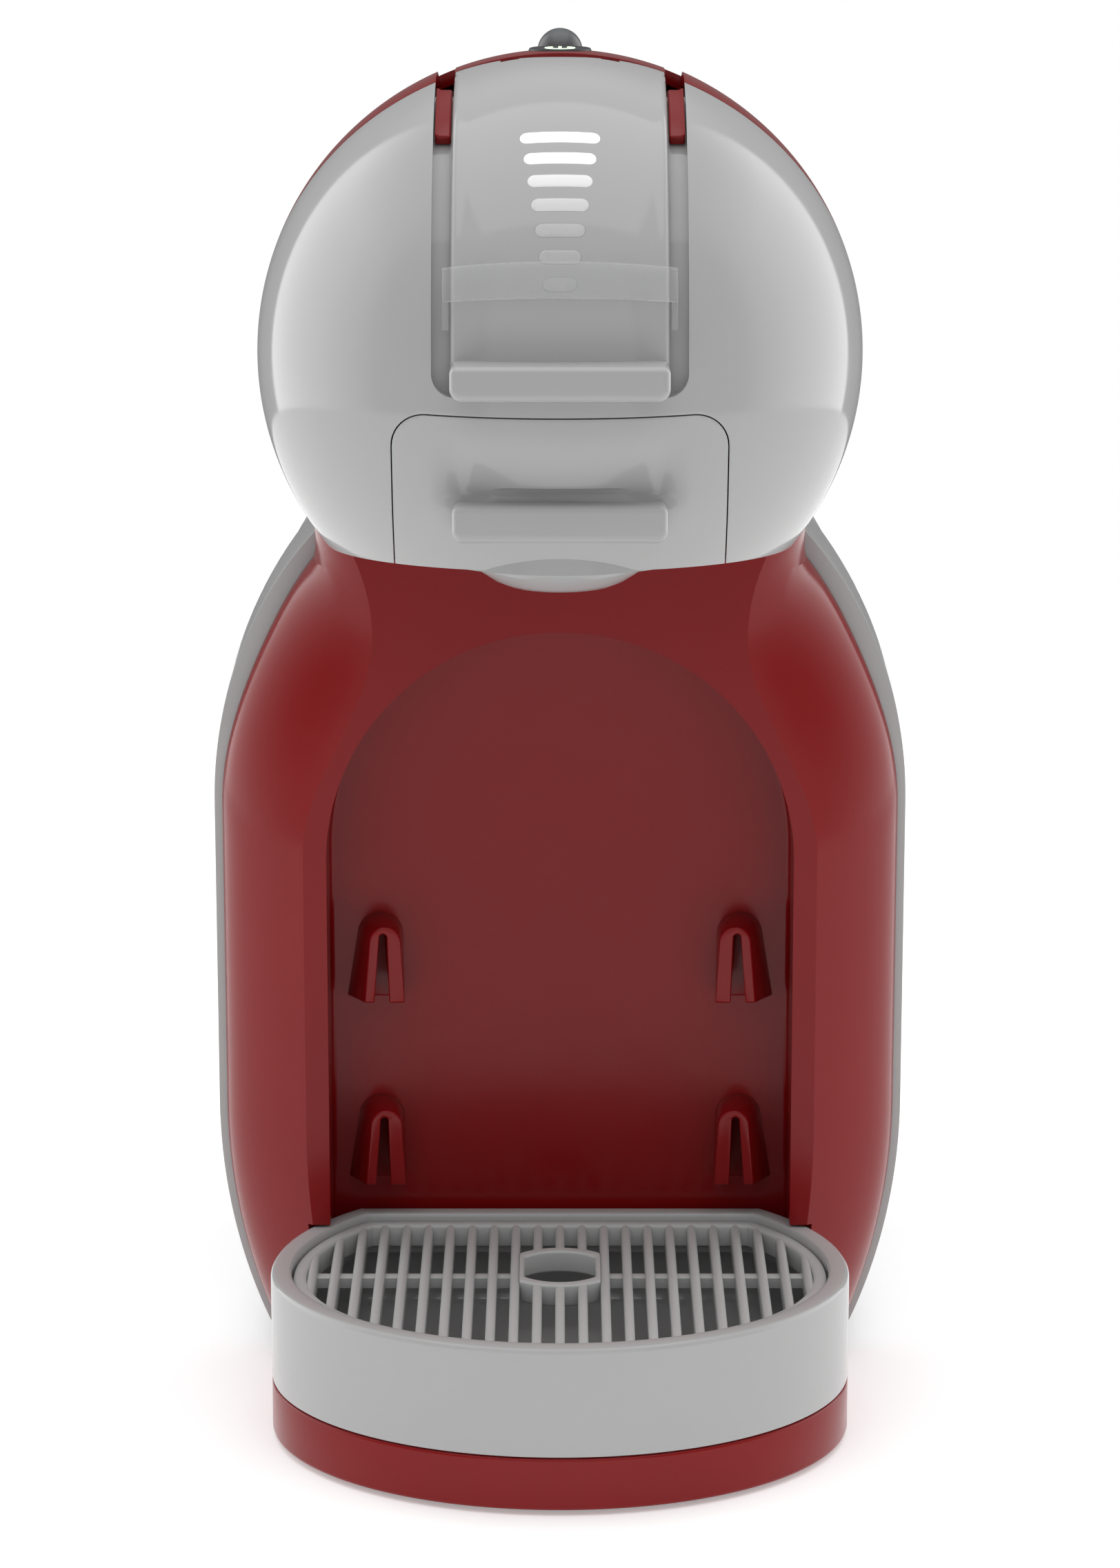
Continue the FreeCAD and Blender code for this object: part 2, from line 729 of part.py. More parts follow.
def make_channel():
    """The curved floor of the handle's channel, with a low wall on each side."""
    inner = "channel_radius"
    outer = "channel_radius + channel_floor"
    half = "groove_half_width + channel_floor"
    floor = cut("channel_floor_ring", head_drum("channel_outer", outer, half),
                head_drum("channel_inner", inner, "100"))
    rim = cut("channel_side_ring", head_drum("channel_rim_outer", "head_radius - head_wall - 4", half),
              head_drum("channel_rim_inner", inner, "100"),
              wide_box("channel_rim_gap", "groove_half_width + clearance", "-140", "60", "100", "330"))
    sector = wide_box("channel_sector", "60", "-140", "ball_y - 12", "head_z + clearance", "330")
    fence = head_ball("channel_fence", "head_radius - head_wall - clearance")
    return node("head_channel", overlap("head_channel_body", join("channel_whole", floor, rim), sector, fence))


make_head_front()
make_head_collar()
make_bridge()
make_channel()

# ================================================================ handle

def handle_pocket(side, start):
    """Room in the handle's barrel for one of the bridge's ears, through the whole swing."""
    width = "ear_width + 2 * clearance"
    eye = rod("pocket_eye_" + side, "handle_pin + ear_wall + clearance", width,
              (start, "handle_pivot_y", "handle_pivot_z"), "x")
    below = box("pocket_below_" + side, (width, "20", "20"),
                (start, "handle_pivot_y - handle_pin - ear_wall - clearance", "handle_pivot_z - 20"))
    behind = box("pocket_behind_" + side, (width, "20", "20"),
                 (start, "handle_pivot_y + handle_pin / 2", "handle_pivot_z - 1"))
    return join("pocket_" + side, eye, below, behind)


def make_handle():
    rim = head_ball("handle_outer", "handle_radius")
    core = head_ball("handle_inner", "handle_radius - handle_thickness")
    sheet_ring = cut("handle_ring", rim, core)
    sector = wide_box("handle_sector", "handle_half_width", "-140", "handle_pivot_y", "head_z + 1", "330")
    curve_part = overlap("handle_curve", sheet_ring, sector)
    barrel = overlap("handle_barrel_part", head_ball("handle_barrel_limit", "handle_radius"),
                     rod("handle_barrel_rod", "handle_barrel", "2 * handle_half_width",
                         ("-handle_half_width", "handle_pivot_y", "handle_pivot_z"), "x"))
    reach = "head_y - handle_radius - lip_reach"
    lip = wide_box("handle_lip", "handle_half_width", reach, "head_y - handle_radius + handle_thickness + 2",
                   "head_z - lip_sink", "head_z - lip_sink + lip_height")
    soft = doc.addObject("Part::Fillet", "handle_lip_soft")
    soft.Base = lip
    doc.recompute()
    front = size("head_y") - size("handle_radius") - size("lip_reach")
    soft.Edges = [(index, 2.4, 2.4) for index, edge in enumerate(lip.Shape.Edges, start=1)
                  if abs(edge.CenterOfMass.y - front) < 1e-6]
    pin_hole = rod("handle_pin_hole", "handle_pin + 0.04", "200", ("-100", "handle_pivot_y", "handle_pivot_z"), "x")
    pockets = [handle_pocket("left", "-ear_start - ear_width - clearance"),
               handle_pocket("right", "ear_start - clearance")]
    bars = [bar_block("handle_bar_slot_%d" % index, index, gap_out=0.1) for index in range(7)]
    node("handle_cover", cut("handle_cover_body", join("handle_whole", curve_part, barrel, soft), pin_hole,
                             *(pockets + bars)))


def bar_block(name, index, gap_out=0.0):
    """One pill-shaped light window: the windows get narrower towards the lip."""
    angle = math.radians(size("bar_first") + size("bar_pitch") * (6 - index))
    half = size("bar_wide") - size("bar_step") * index + gap_out
    tall = size("bar_height") / 2 + gap_out
    inner = size("handle_radius") - size("handle_thickness") - 1.0
    outer = size("handle_radius") + 1.0
    start = Vector(0, size("head_y") - inner * math.cos(angle), size("head_z") + inner * math.sin(angle))
    out = Vector(0, -math.cos(angle), math.sin(angle))
    middle = half - tall
    solid = Part.makeCylinder(tall, outer - inner, start + Vector(middle, 0, 0), out)
    solid = solid.fuse(Part.makeCylinder(tall, outer - inner, start - Vector(middle, 0, 0), out))
    slab = Part.makeBox(2 * middle, 2 * tall, outer - inner)
    turn = FreeCAD.Rotation(Vector(1, 0, 0), Vector(0, math.sin(angle), math.cos(angle)), out, "XZY")
    slab.Placement = FreeCAD.Placement(start - Vector(middle, 0, 0) - turn.multVec(Vector(0, tall, 0)), turn)
    return shaped(name, solid.fuse(slab).removeSplitter())


def make_light_bars():
    bars = []
    skin = head_ball("bar_skin", "handle_radius + 0.05")
    for index in range(7):
        bars.append(bar_block("light_bar_%d" % index, index))
    backing = shaped("light_bar_backing", bar_backing())
    node("light_bars", overlap("light_bars_body", join("light_bars_all", backing, *bars), skin))


def bar_backing():
    """The light guide behind the windows: a thin curved strip."""
    radius = size("handle_radius") - size("handle_thickness") - 0.7
    ring = Part.makeCylinder(radius, 12.0, Vector(-6.0, size("head_y"), size("head_z")), Vector(1, 0, 0))
    ring = ring.cut(Part.makeCylinder(radius - 1.4, 14.0, Vector(-7.0, size("head_y"), size("head_z")),
                                      Vector(1, 0, 0)))
    low_level = size("head_z") + radius * math.sin(math.radians(size("bar_first") - 4.0))
    block = Part.makeBox(20.0, 100.0, 60.0, Vector(-10.0, size("head_y") - 100.0, low_level))
    high_level = size("head_z") + radius * math.sin(math.radians(size("bar_first") + 6.6 * size("bar_pitch")))
    return ring.common(block).common(Part.makeBox(40.0, 200.0, high_level, Vector(-20.0, -180.0, 0.0)))


def make_slider():
    """The clear band that is pushed along the handle to choose the cup size."""
    inner = "handle_radius + slider_gap"
    outer = "handle_radius + slider_gap + slider_wall"
    half_in = "handle_half_width + slider_gap"
    half_out = "handle_half_width + slider_gap + slider_wall"
    band = cut("slider_band", overlap("slider_dome", head_ball("slider_outer", outer),
                                      wide_box("slider_width", half_out, "-140", "60", "100", "330")),
               head_ball("slider_inner", inner))
    legs_floor = head_drum("slider_floor", "channel_radius + channel_floor + 1.2", "100")
    angle = math.radians(size("bar_first") + 0.6)
    half_angle = size("slider_height") / 2 / size("handle_radius")
    reach = 90.0

    def wedge(first, last):
        hub = Vector(-60, size("head_y"), size("head_z"))
        ends = [hub + Vector(0, -reach * math.cos(t), reach * math.sin(t)) for t in (first, last)]
        outline = Part.makePolygon([hub, ends[0], ends[1], hub])
        return Part.Face(outline).extrude(Vector(120, 0, 0))

    face_wedge = shaped("slider_wedge", wedge(angle - half_angle, angle + half_angle))
    arm_angle = size("slider_arm") / size("handle_radius")
    arm_wedge = shaped("slider_arm_wedge", wedge(angle - half_angle - arm_angle, angle))
    sides = cut("slider_sides", overlap("slider_sides_dome", head_ball("slider_sides_outer", outer),
                                        wide_box("slider_sides_width", half_out, "-140", "60", "100", "330")),
                head_drum("slider_sides_inner", "head_radius - flank_sink - 0.2", "100"),
                wide_box("slider_sides_gap", half_in, "-140", "60", "100", "330"))
    whole = join("slider_whole", overlap("slider_face", band, face_wedge), overlap("slider_arms", sides, arm_wedge))
    node("volume_slider", cut("volume_slider_body", whole, legs_floor))


def make_hinge():
    node("handle_pin", rod("handle_pin_body", "handle_pin", "2 * (ear_start + ear_width + 1)",
                           ("-ear_start - ear_width - 1", "handle_pivot_y", "handle_pivot_z"), "x"))


make_handle()
make_light_bars()
make_slider()
make_hinge()

# ================================================================ crown controls
node("power_button", rod("power_button_body", "button_radius", "button_height",
                         ("0", "button_y", "bridge_top - button_height + 0.1")))
ball = globe("selector_ball_body", "ball_radius", ("0", "ball_y", "ball_z"))
stem = rod("selector_stem_body", "selector_stem", "ball_z - selector_pivot_z", ("0", "ball_y", "selector_pivot_z"))
eye = rod("selector_eye", "4.5", "6", ("0", "ball_y - 3", "selector_pivot_z"), "y")
eye_hole = rod("selector_eye_hole", "1.55", "20", ("0", "ball_y - 10", "selector_pivot_z"), "y")
node("selector_lever", cut("selector_lever_body", join("selector_whole", ball, stem, eye), eye_hole))
gate_slab = wide_box("gate_slab", "selector_travel + ball_radius + 2", "ball_y - ball_radius - 2",
                     "ball_y + ball_radius + 3", "gate_z", "gate_z + 3")
gate_limit = head_ball("gate_limit", "head_radius - head_wall - clearance")
gate_slot = wide_box("gate_slot", "selector_travel - 2", "ball_y - selector_stem - clearance",
                     "ball_y + selector_stem + clearance", "head_z", "330")
node("selector_gate", cut("selector_gate_body", overlap("gate_whole", gate_slab, gate_limit), gate_slot))
node("selector_pin", rod("selector_pin_body", "1.5", "14", ("0", "ball_y - 7", "selector_pivot_z"), "y"))

# ================================================================ capsule drawer
def make_drawer():
    outline = upright_plate(size("drawer_half_width"), size("head_cut"), size("drawer_top"), 0.0,
                            size("drawer_corner") - gap, -140.0, size("head_y"))
    plate = shaped("drawer_outline", outline)
    skin = cut("drawer_skin", head_ball("drawer_ball", "head_radius"),
               head_ball("drawer_hollow", "head_radius - drawer_wall"))
    face = overlap("drawer_face", skin, plate)
    floor_block = wide_box("drawer_floor_block", "drawer_half_width", "-110", "cup_y + cup_radius + cup_wall + 1",
                           "head_cut", "head_cut + drawer_floor")
    floor = overlap("drawer_floor_body", floor_block, head_ball("drawer_floor_ball", "head_radius"))
    skin_y = "head_y - sqrt(head_radius ^ 2 - (head_z - pull_low) ^ 2)"
    pull = wide_box("drawer_pull", "pull_half_width", skin_y + " - pull_reach + 3",
                    "head_y - head_radius * 0.8", "pull_low", "pull_high")
    cup = rod("drawer_cup", "cup_radius + cup_wall", "cup_depth + cup_wall", ("0", "cup_y", "head_cut + 1"))
    spout_cone = cone("drawer_spout_cone", "spout_half_width * 0.6", "spout_half_width", "spout_drop + 1",
                      ("0", "cup_y", "head_cut - spout_drop"))
    spout = overlap("drawer_spout", spout_cone,
                    wide_box("drawer_spout_front", "60", "-140", "spout_rear", "head_cut - 20", "head_cut + 1"))
    outside = join("drawer_outside", face, floor, pull, cup, spout)
    inside = rod("drawer_cup_inside", "cup_radius", "60", ("0", "cup_y", "head_cut + 1 + cup_wall"))
    bore = rod("drawer_spout_bore", "spout_bore", "60", ("0", "cup_y", "head_cut - 20"))
    node("capsule_drawer", cut("capsule_drawer_body", outside, inside, bore))


def make_injector():
    """The plate that presses the capsule, with its needle and seal."""
    bottom = "head_cut + 1 + cup_wall + cup_depth + plate_gap"
    plate = rod("injector_disc", "plate_radius", "plate_thickness", ("0", "cup_y", bottom))
    boss = rod("injector_boss", "boss_radius", "boss_height", ("0", "cup_y", bottom + " + plate_thickness"))
    bore = rod("injector_bore", "needle_radius", "14", ("0", "cup_y", bottom + " - 0.6"))
    node("injector_plate", cut("injector_plate_body", join("injector_whole", plate, boss), bore))
    node("injector_needle", rod("injector_needle_body", "needle_radius", "14", ("0", "cup_y", bottom + " - 0.6")))
    seal_start = ("0", "cup_y", bottom + " - 1")
    ring = cut("injector_seal_body", rod("seal_outer", "plate_radius - 4", "1", seal_start),
               rod("seal_inner", "plate_radius - 7", "1", seal_start))
    node("injector_seal", ring)


def make_head_frame():
    """The upright plate inside the head: it carries the channel, the injector's guide and the selector."""
    upright = wide_box("frame_upright", "30", "frame_y", "frame_y + frame_thickness", "head_cut + head_wall",
                       "head_z + sqrt(channel_radius ^ 2 - (frame_y + frame_thickness - head_y) ^ 2) - clearance")
    arm = wide_box("frame_arm", "boss_radius + 6", "cup_y - boss_radius - 6", "frame_y + 1", "guide_z",
                   "guide_z + guide_height")
    bore = rod("frame_arm_bore", "boss_radius + 0.06", "60", ("0", "cup_y", "guide_z - 20"))
    node("head_frame", cut("head_frame_body", join("frame_whole", upright, arm), bore))

    half, reach = "7", "frame_y + frame_thickness"
    shelf = wide_box("selector_shelf", half, reach, "ball_y + 7", "selector_pivot_z - 12", "selector_pivot_z - 9")
    front = wide_box("selector_cheek_front", half, "ball_y - 6.2", "ball_y - 3.3", "selector_pivot_z - 10",
                     "selector_pivot_z + 5")
    rear = wide_box("selector_cheek_rear", half, "ball_y + 3.3", "ball_y + 6.2", "selector_pivot_z - 10",
                    "selector_pivot_z + 5")
    hole = rod("selector_bracket_hole", "1.54", "40", ("0", "ball_y - 20", "selector_pivot_z"), "y")
    node("selector_bracket", cut("selector_bracket_body", join("selector_bracket_whole", shelf, front, rear), hole))

    for side, x in (("left", "-drawer_half_width - 4"), ("right", "drawer_half_width + 1")):
        rail = box("rail_bar_" + side, ("3", "34", "7"), (x, "cup_y - 3", "head_cut + head_wall"))
        node("drawer_rail_" + side, rail)


make_drawer()
make_injector()
make_head_frame()

# ================================================================ water tank
def make_tank():
    wall = size("tank_wall")
    levels = levels_between(size("tank_floor_z"), size("tank_top"), BODY_STOPS)
    outer = loft(tank_section, levels)
    inner_levels = [size("tank_floor_z") + wall] + levels[1:-1] + [size("tank_top") + 1.0]
    inner = loft(tank_section, inner_levels, wall)
    tank = shaped("water_tank_skin", outer.cut(inner))
    outlet = rod("tank_outlet", "valve_radius + 0.4", "20",
                 ("valve_x", "rear_plane + 22", "tank_floor_z - 5"))
    node("water_tank", cut("water_tank_body", tank, outlet))

    lid_levels = levels_between(size("tank_top") + gap, size("tank_lid_top"), BODY_STOPS)
    lid = loft(tank_section, lid_levels)
    hollow = loft(tank_section, [lid_levels[0] - 1.0] + lid_levels[1:-1] + [lid_levels[-1] - wall], wall)
    node("tank_lid", shaped("tank_lid_body", lid.cut(hollow)))
    node("tank_valve", join("tank_valve_body", rod("tank_valve_stem", "valve_radius", "8", (
        "valve_x", "rear_plane + 22", "tank_floor_z - 4")), rod("tank_valve_head", "valve_radius + 2.4", "2", (
            "valve_x", "rear_plane + 22", "tank_floor_z + tank_wall + clearance"))))
    dock = rod("dock_block", "14", "tank_floor_z - 5 - foot_height - base_plate_thickness",
               ("valve_x", "rear_plane + 22", "foot_height + base_plate_thickness"))
    node("tank_dock", cut("tank_dock_body", dock, rod("dock_bore", "valve_radius + 1", "60", (
        "valve_x", "rear_plane + 22", "tank_floor_z - 10"))))


make_tank()

# ================================================================ works inside
FLOOR = "foot_height + base_plate_thickness"


def elbow_hose(name, points):
    """A hose of straight runs joined by tangent arcs."""
    radius = size("hose_radius")
    points = [Vector(*point) for point in points]
    edges = []
    start = points[0]
    for before, corner, after in zip(points, points[1:], points[2:]):
        entry = (before - corner).normalize()
        leave = (after - corner).normalize()
        half = entry.getAngle(leave) / 2
        bend = 0.45 * min((before - corner).Length, (after - corner).Length)
        turn = bend * math.tan(half)
        first, last = corner + entry * bend, corner + leave * bend
        centre = corner + (entry + leave).normalize() * (turn / math.sin(half))
        middle = centre + (corner - centre).normalize() * turn
        edges.append(Part.LineSegment(start, first).toShape())
        edges.append(Part.Arc(first, middle, last).toShape())
        start = last
    edges.append(Part.LineSegment(start, points[-1]).toShape())
    path = Part.Wire(edges)
    profile = Part.Wire(Part.Circle(points[0], points[1] - points[0], radius).toShape())
    return node(name, shaped(name + "_body", path.makePipeShell([profile], True, True)))


def make_chassis():
    plate = wide_box("chassis_plate", "chassis_half_width", "chassis_y", "chassis_y + chassis_thickness", FLOOR,
                     "chassis_top")
    shelf = wide_box("chassis_shelf", "chassis_half_width", "-10", "chassis_y + 1", "pump_z - 6", "pump_z - 3")
    leg = wide_box("chassis_leg", "chassis_half_width", "-10", "-7", FLOOR, "pump_z - 4")
    crown = wide_box("chassis_crown", "neck_half_width * 0.7", "-30", "chassis_y + 1", "chassis_top - 3",
                     "chassis_top")
    foot = wide_box("chassis_foot", "chassis_half_width", "chassis_y + 1", "chassis_y + 16", FLOOR, FLOOR + " + 3")
    hose_way = box("chassis_hose_way", ("20", "20", "20"), ("heater_x - 14", "heater_y - 14", "chassis_top - 10"))
    node("chassis", cut("chassis_body", join("chassis_whole", plate, shelf, leg, crown, foot), hose_way))
    for side, x in (("left", "-screw_spread"), ("right", "screw_spread")):
        head = rod("screw_head_" + side, "screw_radius", "2.4",
                   (x, "chassis_y + 10", FLOOR + " + chassis_thickness"))
        node("chassis_screw_" + side, head)


def make_pump():
    node("pump", rod("pump_body", "pump_radius", "pump_length", ("pump_x", "pump_y", "pump_z")))
    coil = box("pump_coil_block", ("coil_side", "coil_side - 10", "coil_height"),
               ("pump_x - coil_side / 2", "pump_y - coil_side / 2 + 4.5", "pump_z + 18"))
    bore = rod("pump_coil_bore", "pump_radius", "200", ("pump_x", "pump_y", "0"))
    node("pump_coil", cut("pump_coil_body", coil, bore))
    node("pump_mount", rod("pump_mount_body", "pump_radius + 3", "3", ("pump_x", "pump_y", "pump_z - 3")))


def make_heater():
    body = rod("heater_can", "heater_radius", "heater_height", ("heater_x", "heater_y", "heater_z"))
    port = rod("heater_port", "hose_radius", "heater_height + 8", ("heater_x", "heater_y", "heater_z - 4"))
    node("heater", join("heater_body", body, port))
    strap = rod("heater_strap_ring", "heater_radius + 2", "8", ("heater_x", "heater_y", "heater_z + 26"))
    arm = wide_box("heater_strap_arm", "8", "heater_y", "chassis_y", "heater_z + 26", "heater_z + 34")
    arm.setExpression("Placement.Base.x", formula("heater_x - 8"))
    bore = rod("heater_strap_bore", "heater_radius", "200", ("heater_x", "heater_y", "0"))
    node("heater_strap", cut("heater_strap_body", join("heater_strap_whole", strap, arm), bore))
    for name, z in (("thermostat_upper", "heater_z + 46"), ("thermostat_lower", "heater_z + 12")):
        node(name, rod(name + "_body", "5", "heater_radius * 0.25 + 4",
                       ("heater_x + heater_radius", "heater_y", z), "x"))


def make_boards():
    face = "chassis_y + chassis_thickness"
    front = face + " + post_length"
    rear = front + " + board_thickness"
    node("control_board", wide_box("control_board_body", "board_half_width", front, rear,
                                   "board_low", "board_high"))
    posts = [(x, z) for z in ("board_low + post_inset", "board_high - post_inset")
             for x in ("post_inset - board_half_width", "board_half_width - post_inset")]
    for number, (x, z) in enumerate(posts, start=1):
        node("board_post_%d" % number, rod("board_post_body_%d" % number, "post_radius", "post_length",
                                           (x, face, z), "y"))
    relay = box("board_relay", ("18", "14", "20"), ("6", rear, "board_low + 26"))
    filter_block = box("board_filter", ("20", "10", "14"), ("-24", rear, "board_low + 50"))
    node("board_relay", relay)
    node("board_filter", filter_block)
    node("flow_meter", rod("flow_meter_body", "10", "12", ("-36", "chassis_y - 12", "140"), "y"))
    gland = rod("gland_outer", "gland_radius", "gland_length", ("gland_x", "back_plane - 12", "gland_z"), "y")
    bore = rod("gland_bore_tool", "gland_bore", "30", ("gland_x", "back_plane - 13", "gland_z"), "y")
    node("cord_gland", cut("cord_gland_body", gland, bore))


def make_hoses():
    x, y = size("pump_x"), size("pump_y")
    top = size("pump_z") + size("pump_length")
    heater_x, heater_y = size("heater_x"), size("heater_y")
    heater_top = size("heater_z") + size("heater_height") + 4.0
    elbow_hose("hose_pump", [(x, y, top), (x, y, top + 26.0), (heater_x - 26.0, y, top + 26.0),
                             (heater_x - 26.0, heater_y, 74.0), (heater_x, heater_y, 68.0),
                             (heater_x, heater_y, size("heater_z") - 4.0)])
    elbow_hose("hose_injector", [(heater_x, heater_y, heater_top), (heater_x, heater_y, 178.0),
                                 (18.0, -4.0, 205.0), (12.0, -10.0, 240.0)])


def make_plinth():
    """The hollow step that the tank stands on, round the dock."""
    low_level = size("foot_height") + size("base_plate_thickness")
    top_level = size("tank_floor_z") - gap
    outer = loft(tank_section, [low_level, 12.0, top_level])
    inner = loft(tank_section, [low_level - 1.0, 12.0, top_level - size("wall")], size("wall"))
    skin = shaped("tank_plinth_skin", outer.cut(inner))
    hole = rod("plinth_gland_hole", "gland_radius", "40", ("gland_x", "back_plane - 14", "gland_z"), "y")
    dock_hole = rod("plinth_dock_hole", "14.3", "60", ("valve_x", "rear_plane + 22", "0"))
    node("tank_plinth", cut("tank_plinth_body", skin, hole, dock_hole))


make_chassis()
make_pump()
make_heater()
make_boards()
make_hoses()
make_plinth()

# ---------------------------------------------------------------- checks and export
doc.recompute()
for thing in doc.Objects:
    if "Invalid" in thing.State or "Error" in thing.State:
        raise RuntimeError("%s failed: %s" % (thing.Name, thing.State))
for label, thing in nodes.items():
    shape = thing.Shape
    if shape.isNull() or not shape.isValid():
        raise RuntimeError("%s has no valid shape" % label)
    box_of = shape.BoundBox
    print("%-20s solids %2d volume %9.0f  x %7.1f %7.1f  y %7.1f %7.1f  z %7.1f %7.1f" % (
        label, len(shape.Solids), shape.Volume, box_of.XMin, box_of.XMax, box_of.YMin, box_of.YMax,
        box_of.ZMin, box_of.ZMax))
    shape.exportStep("parts/%s.step" % label)
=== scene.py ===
"""Looks of the pod coffee machine: detailed shells, handle, drawer, tray and tank over the CAD frame."""
import json
import math

import bmesh
import bpy
from mathutils import Matrix, Vector


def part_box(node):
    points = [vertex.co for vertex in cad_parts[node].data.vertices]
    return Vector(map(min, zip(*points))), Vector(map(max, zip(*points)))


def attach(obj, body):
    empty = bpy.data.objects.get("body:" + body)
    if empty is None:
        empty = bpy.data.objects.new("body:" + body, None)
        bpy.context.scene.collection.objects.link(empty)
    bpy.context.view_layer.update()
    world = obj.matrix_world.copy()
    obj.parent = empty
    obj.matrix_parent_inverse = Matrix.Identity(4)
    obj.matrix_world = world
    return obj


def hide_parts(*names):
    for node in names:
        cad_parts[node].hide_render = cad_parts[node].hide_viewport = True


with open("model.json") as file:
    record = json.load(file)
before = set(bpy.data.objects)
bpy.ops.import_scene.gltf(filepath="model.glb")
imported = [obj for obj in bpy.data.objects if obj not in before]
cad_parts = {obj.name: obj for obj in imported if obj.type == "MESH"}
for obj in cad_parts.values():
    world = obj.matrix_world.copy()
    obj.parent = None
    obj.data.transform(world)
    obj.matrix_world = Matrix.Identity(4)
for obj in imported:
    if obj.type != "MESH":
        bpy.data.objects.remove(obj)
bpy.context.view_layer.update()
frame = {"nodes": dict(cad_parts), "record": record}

# Shapes are worked out in millimetres and written to Blender in metres.
MM = 0.001


def corners(node):
    """Lowest and highest corner of a CAD node, in millimetres."""
    low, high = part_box(node)
    return low / MM, high / MM


# ---------------------------------------------------------------- sizes read from the frame
gap = 0.3
wall = 2.6
head_low, head_high = corners("head_front")
head_radius = (head_high.x - head_low.x) / 2
head_y = head_low.y + head_radius
head_cut = head_low.z
handle_low, handle_high = corners("handle_cover")
handle_half = handle_high.x
head_z = handle_low.z + 0.6
handle_radius = 65.4
handle_thickness = 3.6
channel_floor = 57.2
flank_radius = 59.8
pin_low, pin_high = corners("handle_pin")
pivot = Vector((0.0, (pin_low.y + pin_high.y) / 2, (pin_low.z + pin_high.z) / 2))
groove_half = corners("head_bridge")[1].x + gap
drawer_half = 34.9
front_low = corners("body_front_shell")[0]
liner_high = corners("bay_liner")[1]
face_y = front_low.y
bay_back = liner_high.y - wall
BAY_HALF, BAY_LEVEL = 52.2, 123.0
CUP_Y = -61.0
rear_low, rear_high = corners("rear_shell")
tray_low, tray_high = corners("drip_tray")
grid_low, grid_high = corners("drip_grid")
band_low, band_high = corners("base_band")
tank_low, tank_high = corners("water_tank")
lid_low, lid_high = corners("tank_lid")
button_y = (corners("power_button")[0].y + corners("power_button")[1].y) / 2


# ---------------------------------------------------------------- mesh tools
def piece_from(name, points, faces):
    """A mesh object from points in millimetres."""
    mesh = bpy.data.meshes.new(name)
    mesh.from_pydata([Vector(point) * MM for point in points], [], faces)
    mesh.validate()
    piece = bpy.data.objects.new(name, mesh)
    bpy.context.scene.collection.objects.link(piece)
    turn_outward(piece)
    return piece


def turn_outward(piece):
    work = bmesh.new()
    work.from_mesh(piece.data)
    bmesh.ops.remove_doubles(work, verts=work.verts, dist=1e-6)
    bmesh.ops.recalc_face_normals(work, faces=work.faces)
    work.to_mesh(piece.data)
    work.free()


def lofted(name, rings):
    """A closed solid skinned over closed rings of equally many points."""
    count = len(rings[0])
    points = [point for ring in rings for point in ring]
    faces = []
    for level in range(len(rings) - 1):
        for index in range(count):
            following = (index + 1) % count
            base = level * count
            faces.append((base + index, base + following, base + count + following, base + count + index))
    faces.append(tuple(range(count)))
    faces.append(tuple(range(len(points) - count, len(points))))
    return piece_from(name, points, faces)


def plate_xz(name, outline, near, far):
    """A plate across the machine: an outline in X and Z, carried along Y."""
    return lofted(name, [[(x, near, z) for x, z in outline], [(x, far, z) for x, z in outline]])


def plate_yz(name, outline, half_width):
    """A bar along X: an outline in Y and Z, carried across the machine."""
    return lofted(name, [[(-half_width, y, z) for y, z in outline], [(half_width, y, z) for y, z in outline]])


def plate_xy(name, outline, low, high):
    return lofted(name, [[(x, y, low) for x, y in outline], [(x, y, high) for x, y in outline]])


def block(name, low, high):
    outline = [(low[0], low[1]), (high[0], low[1]), (high[0], high[1]), (low[0], high[1])]
    return plate_xy(name, outline, low[2], high[2])


def arc(centre, radius, start, end, steps):
    """Points on an arc, angles in degrees."""
    turns = [math.radians(start + (end - start) * step / steps) for step in range(steps + 1)]
    return [(centre[0] + radius * math.cos(turn), centre[1] + radius * math.sin(turn)) for turn in turns]


def rounded_outline(half, low, high, low_radius, high_radius, steps=10):
    outline = []
    outline += arc((half - high_radius, high - high_radius), high_radius, 0, 90, steps)
    outline += arc((-half + high_radius, high - high_radius), high_radius, 90, 180, steps)
    if low_radius:
        outline += arc((-half + low_radius, low + low_radius), low_radius, 180, 270, steps)
        outline += arc((half - low_radius, low + low_radius), low_radius, 270, 360, steps)
    else:
        outline += [(-half, low), (half, low)]
    return outline


def ball(name, radius, centre, cuts=48):
    """A sphere of even quads."""
    work = bmesh.new()
    bmesh.ops.create_cube(work, size=2.0)
    bmesh.ops.subdivide_edges(work, edges=work.edges, cuts=cuts, use_grid_fill=True)
    for vert in work.verts:
        vert.co = Vector([math.tan(share * math.pi / 4) for share in vert.co]).normalized()
    mesh = bpy.data.meshes.new(name)
    for vert in work.verts:
        vert.co = (Vector(centre) + vert.co * radius) * MM
    work.to_mesh(mesh)
    work.free()
    piece = bpy.data.objects.new(name, mesh)
    bpy.context.scene.collection.objects.link(piece)
    return piece


def drum_x(name, centre, radius, half_width, steps=128):
    return plate_yz(name, arc(centre, radius, 0, 360, steps)[:-1], half_width)


def post(name, centre, radius, low, high, steps=48):
    return plate_xy(name, arc(centre, radius, 0, 360, steps)[:-1], low, high)


def bake(piece):
    """Writes a piece's modifiers into its mesh."""
    bpy.context.view_layer.update()
    graph = bpy.context.evaluated_depsgraph_get()
    mesh = bpy.data.meshes.new_from_object(piece.evaluated_get(graph))
    piece.modifiers.clear()
    old = piece.data
    piece.data = mesh
    bpy.data.meshes.remove(old)
    return piece


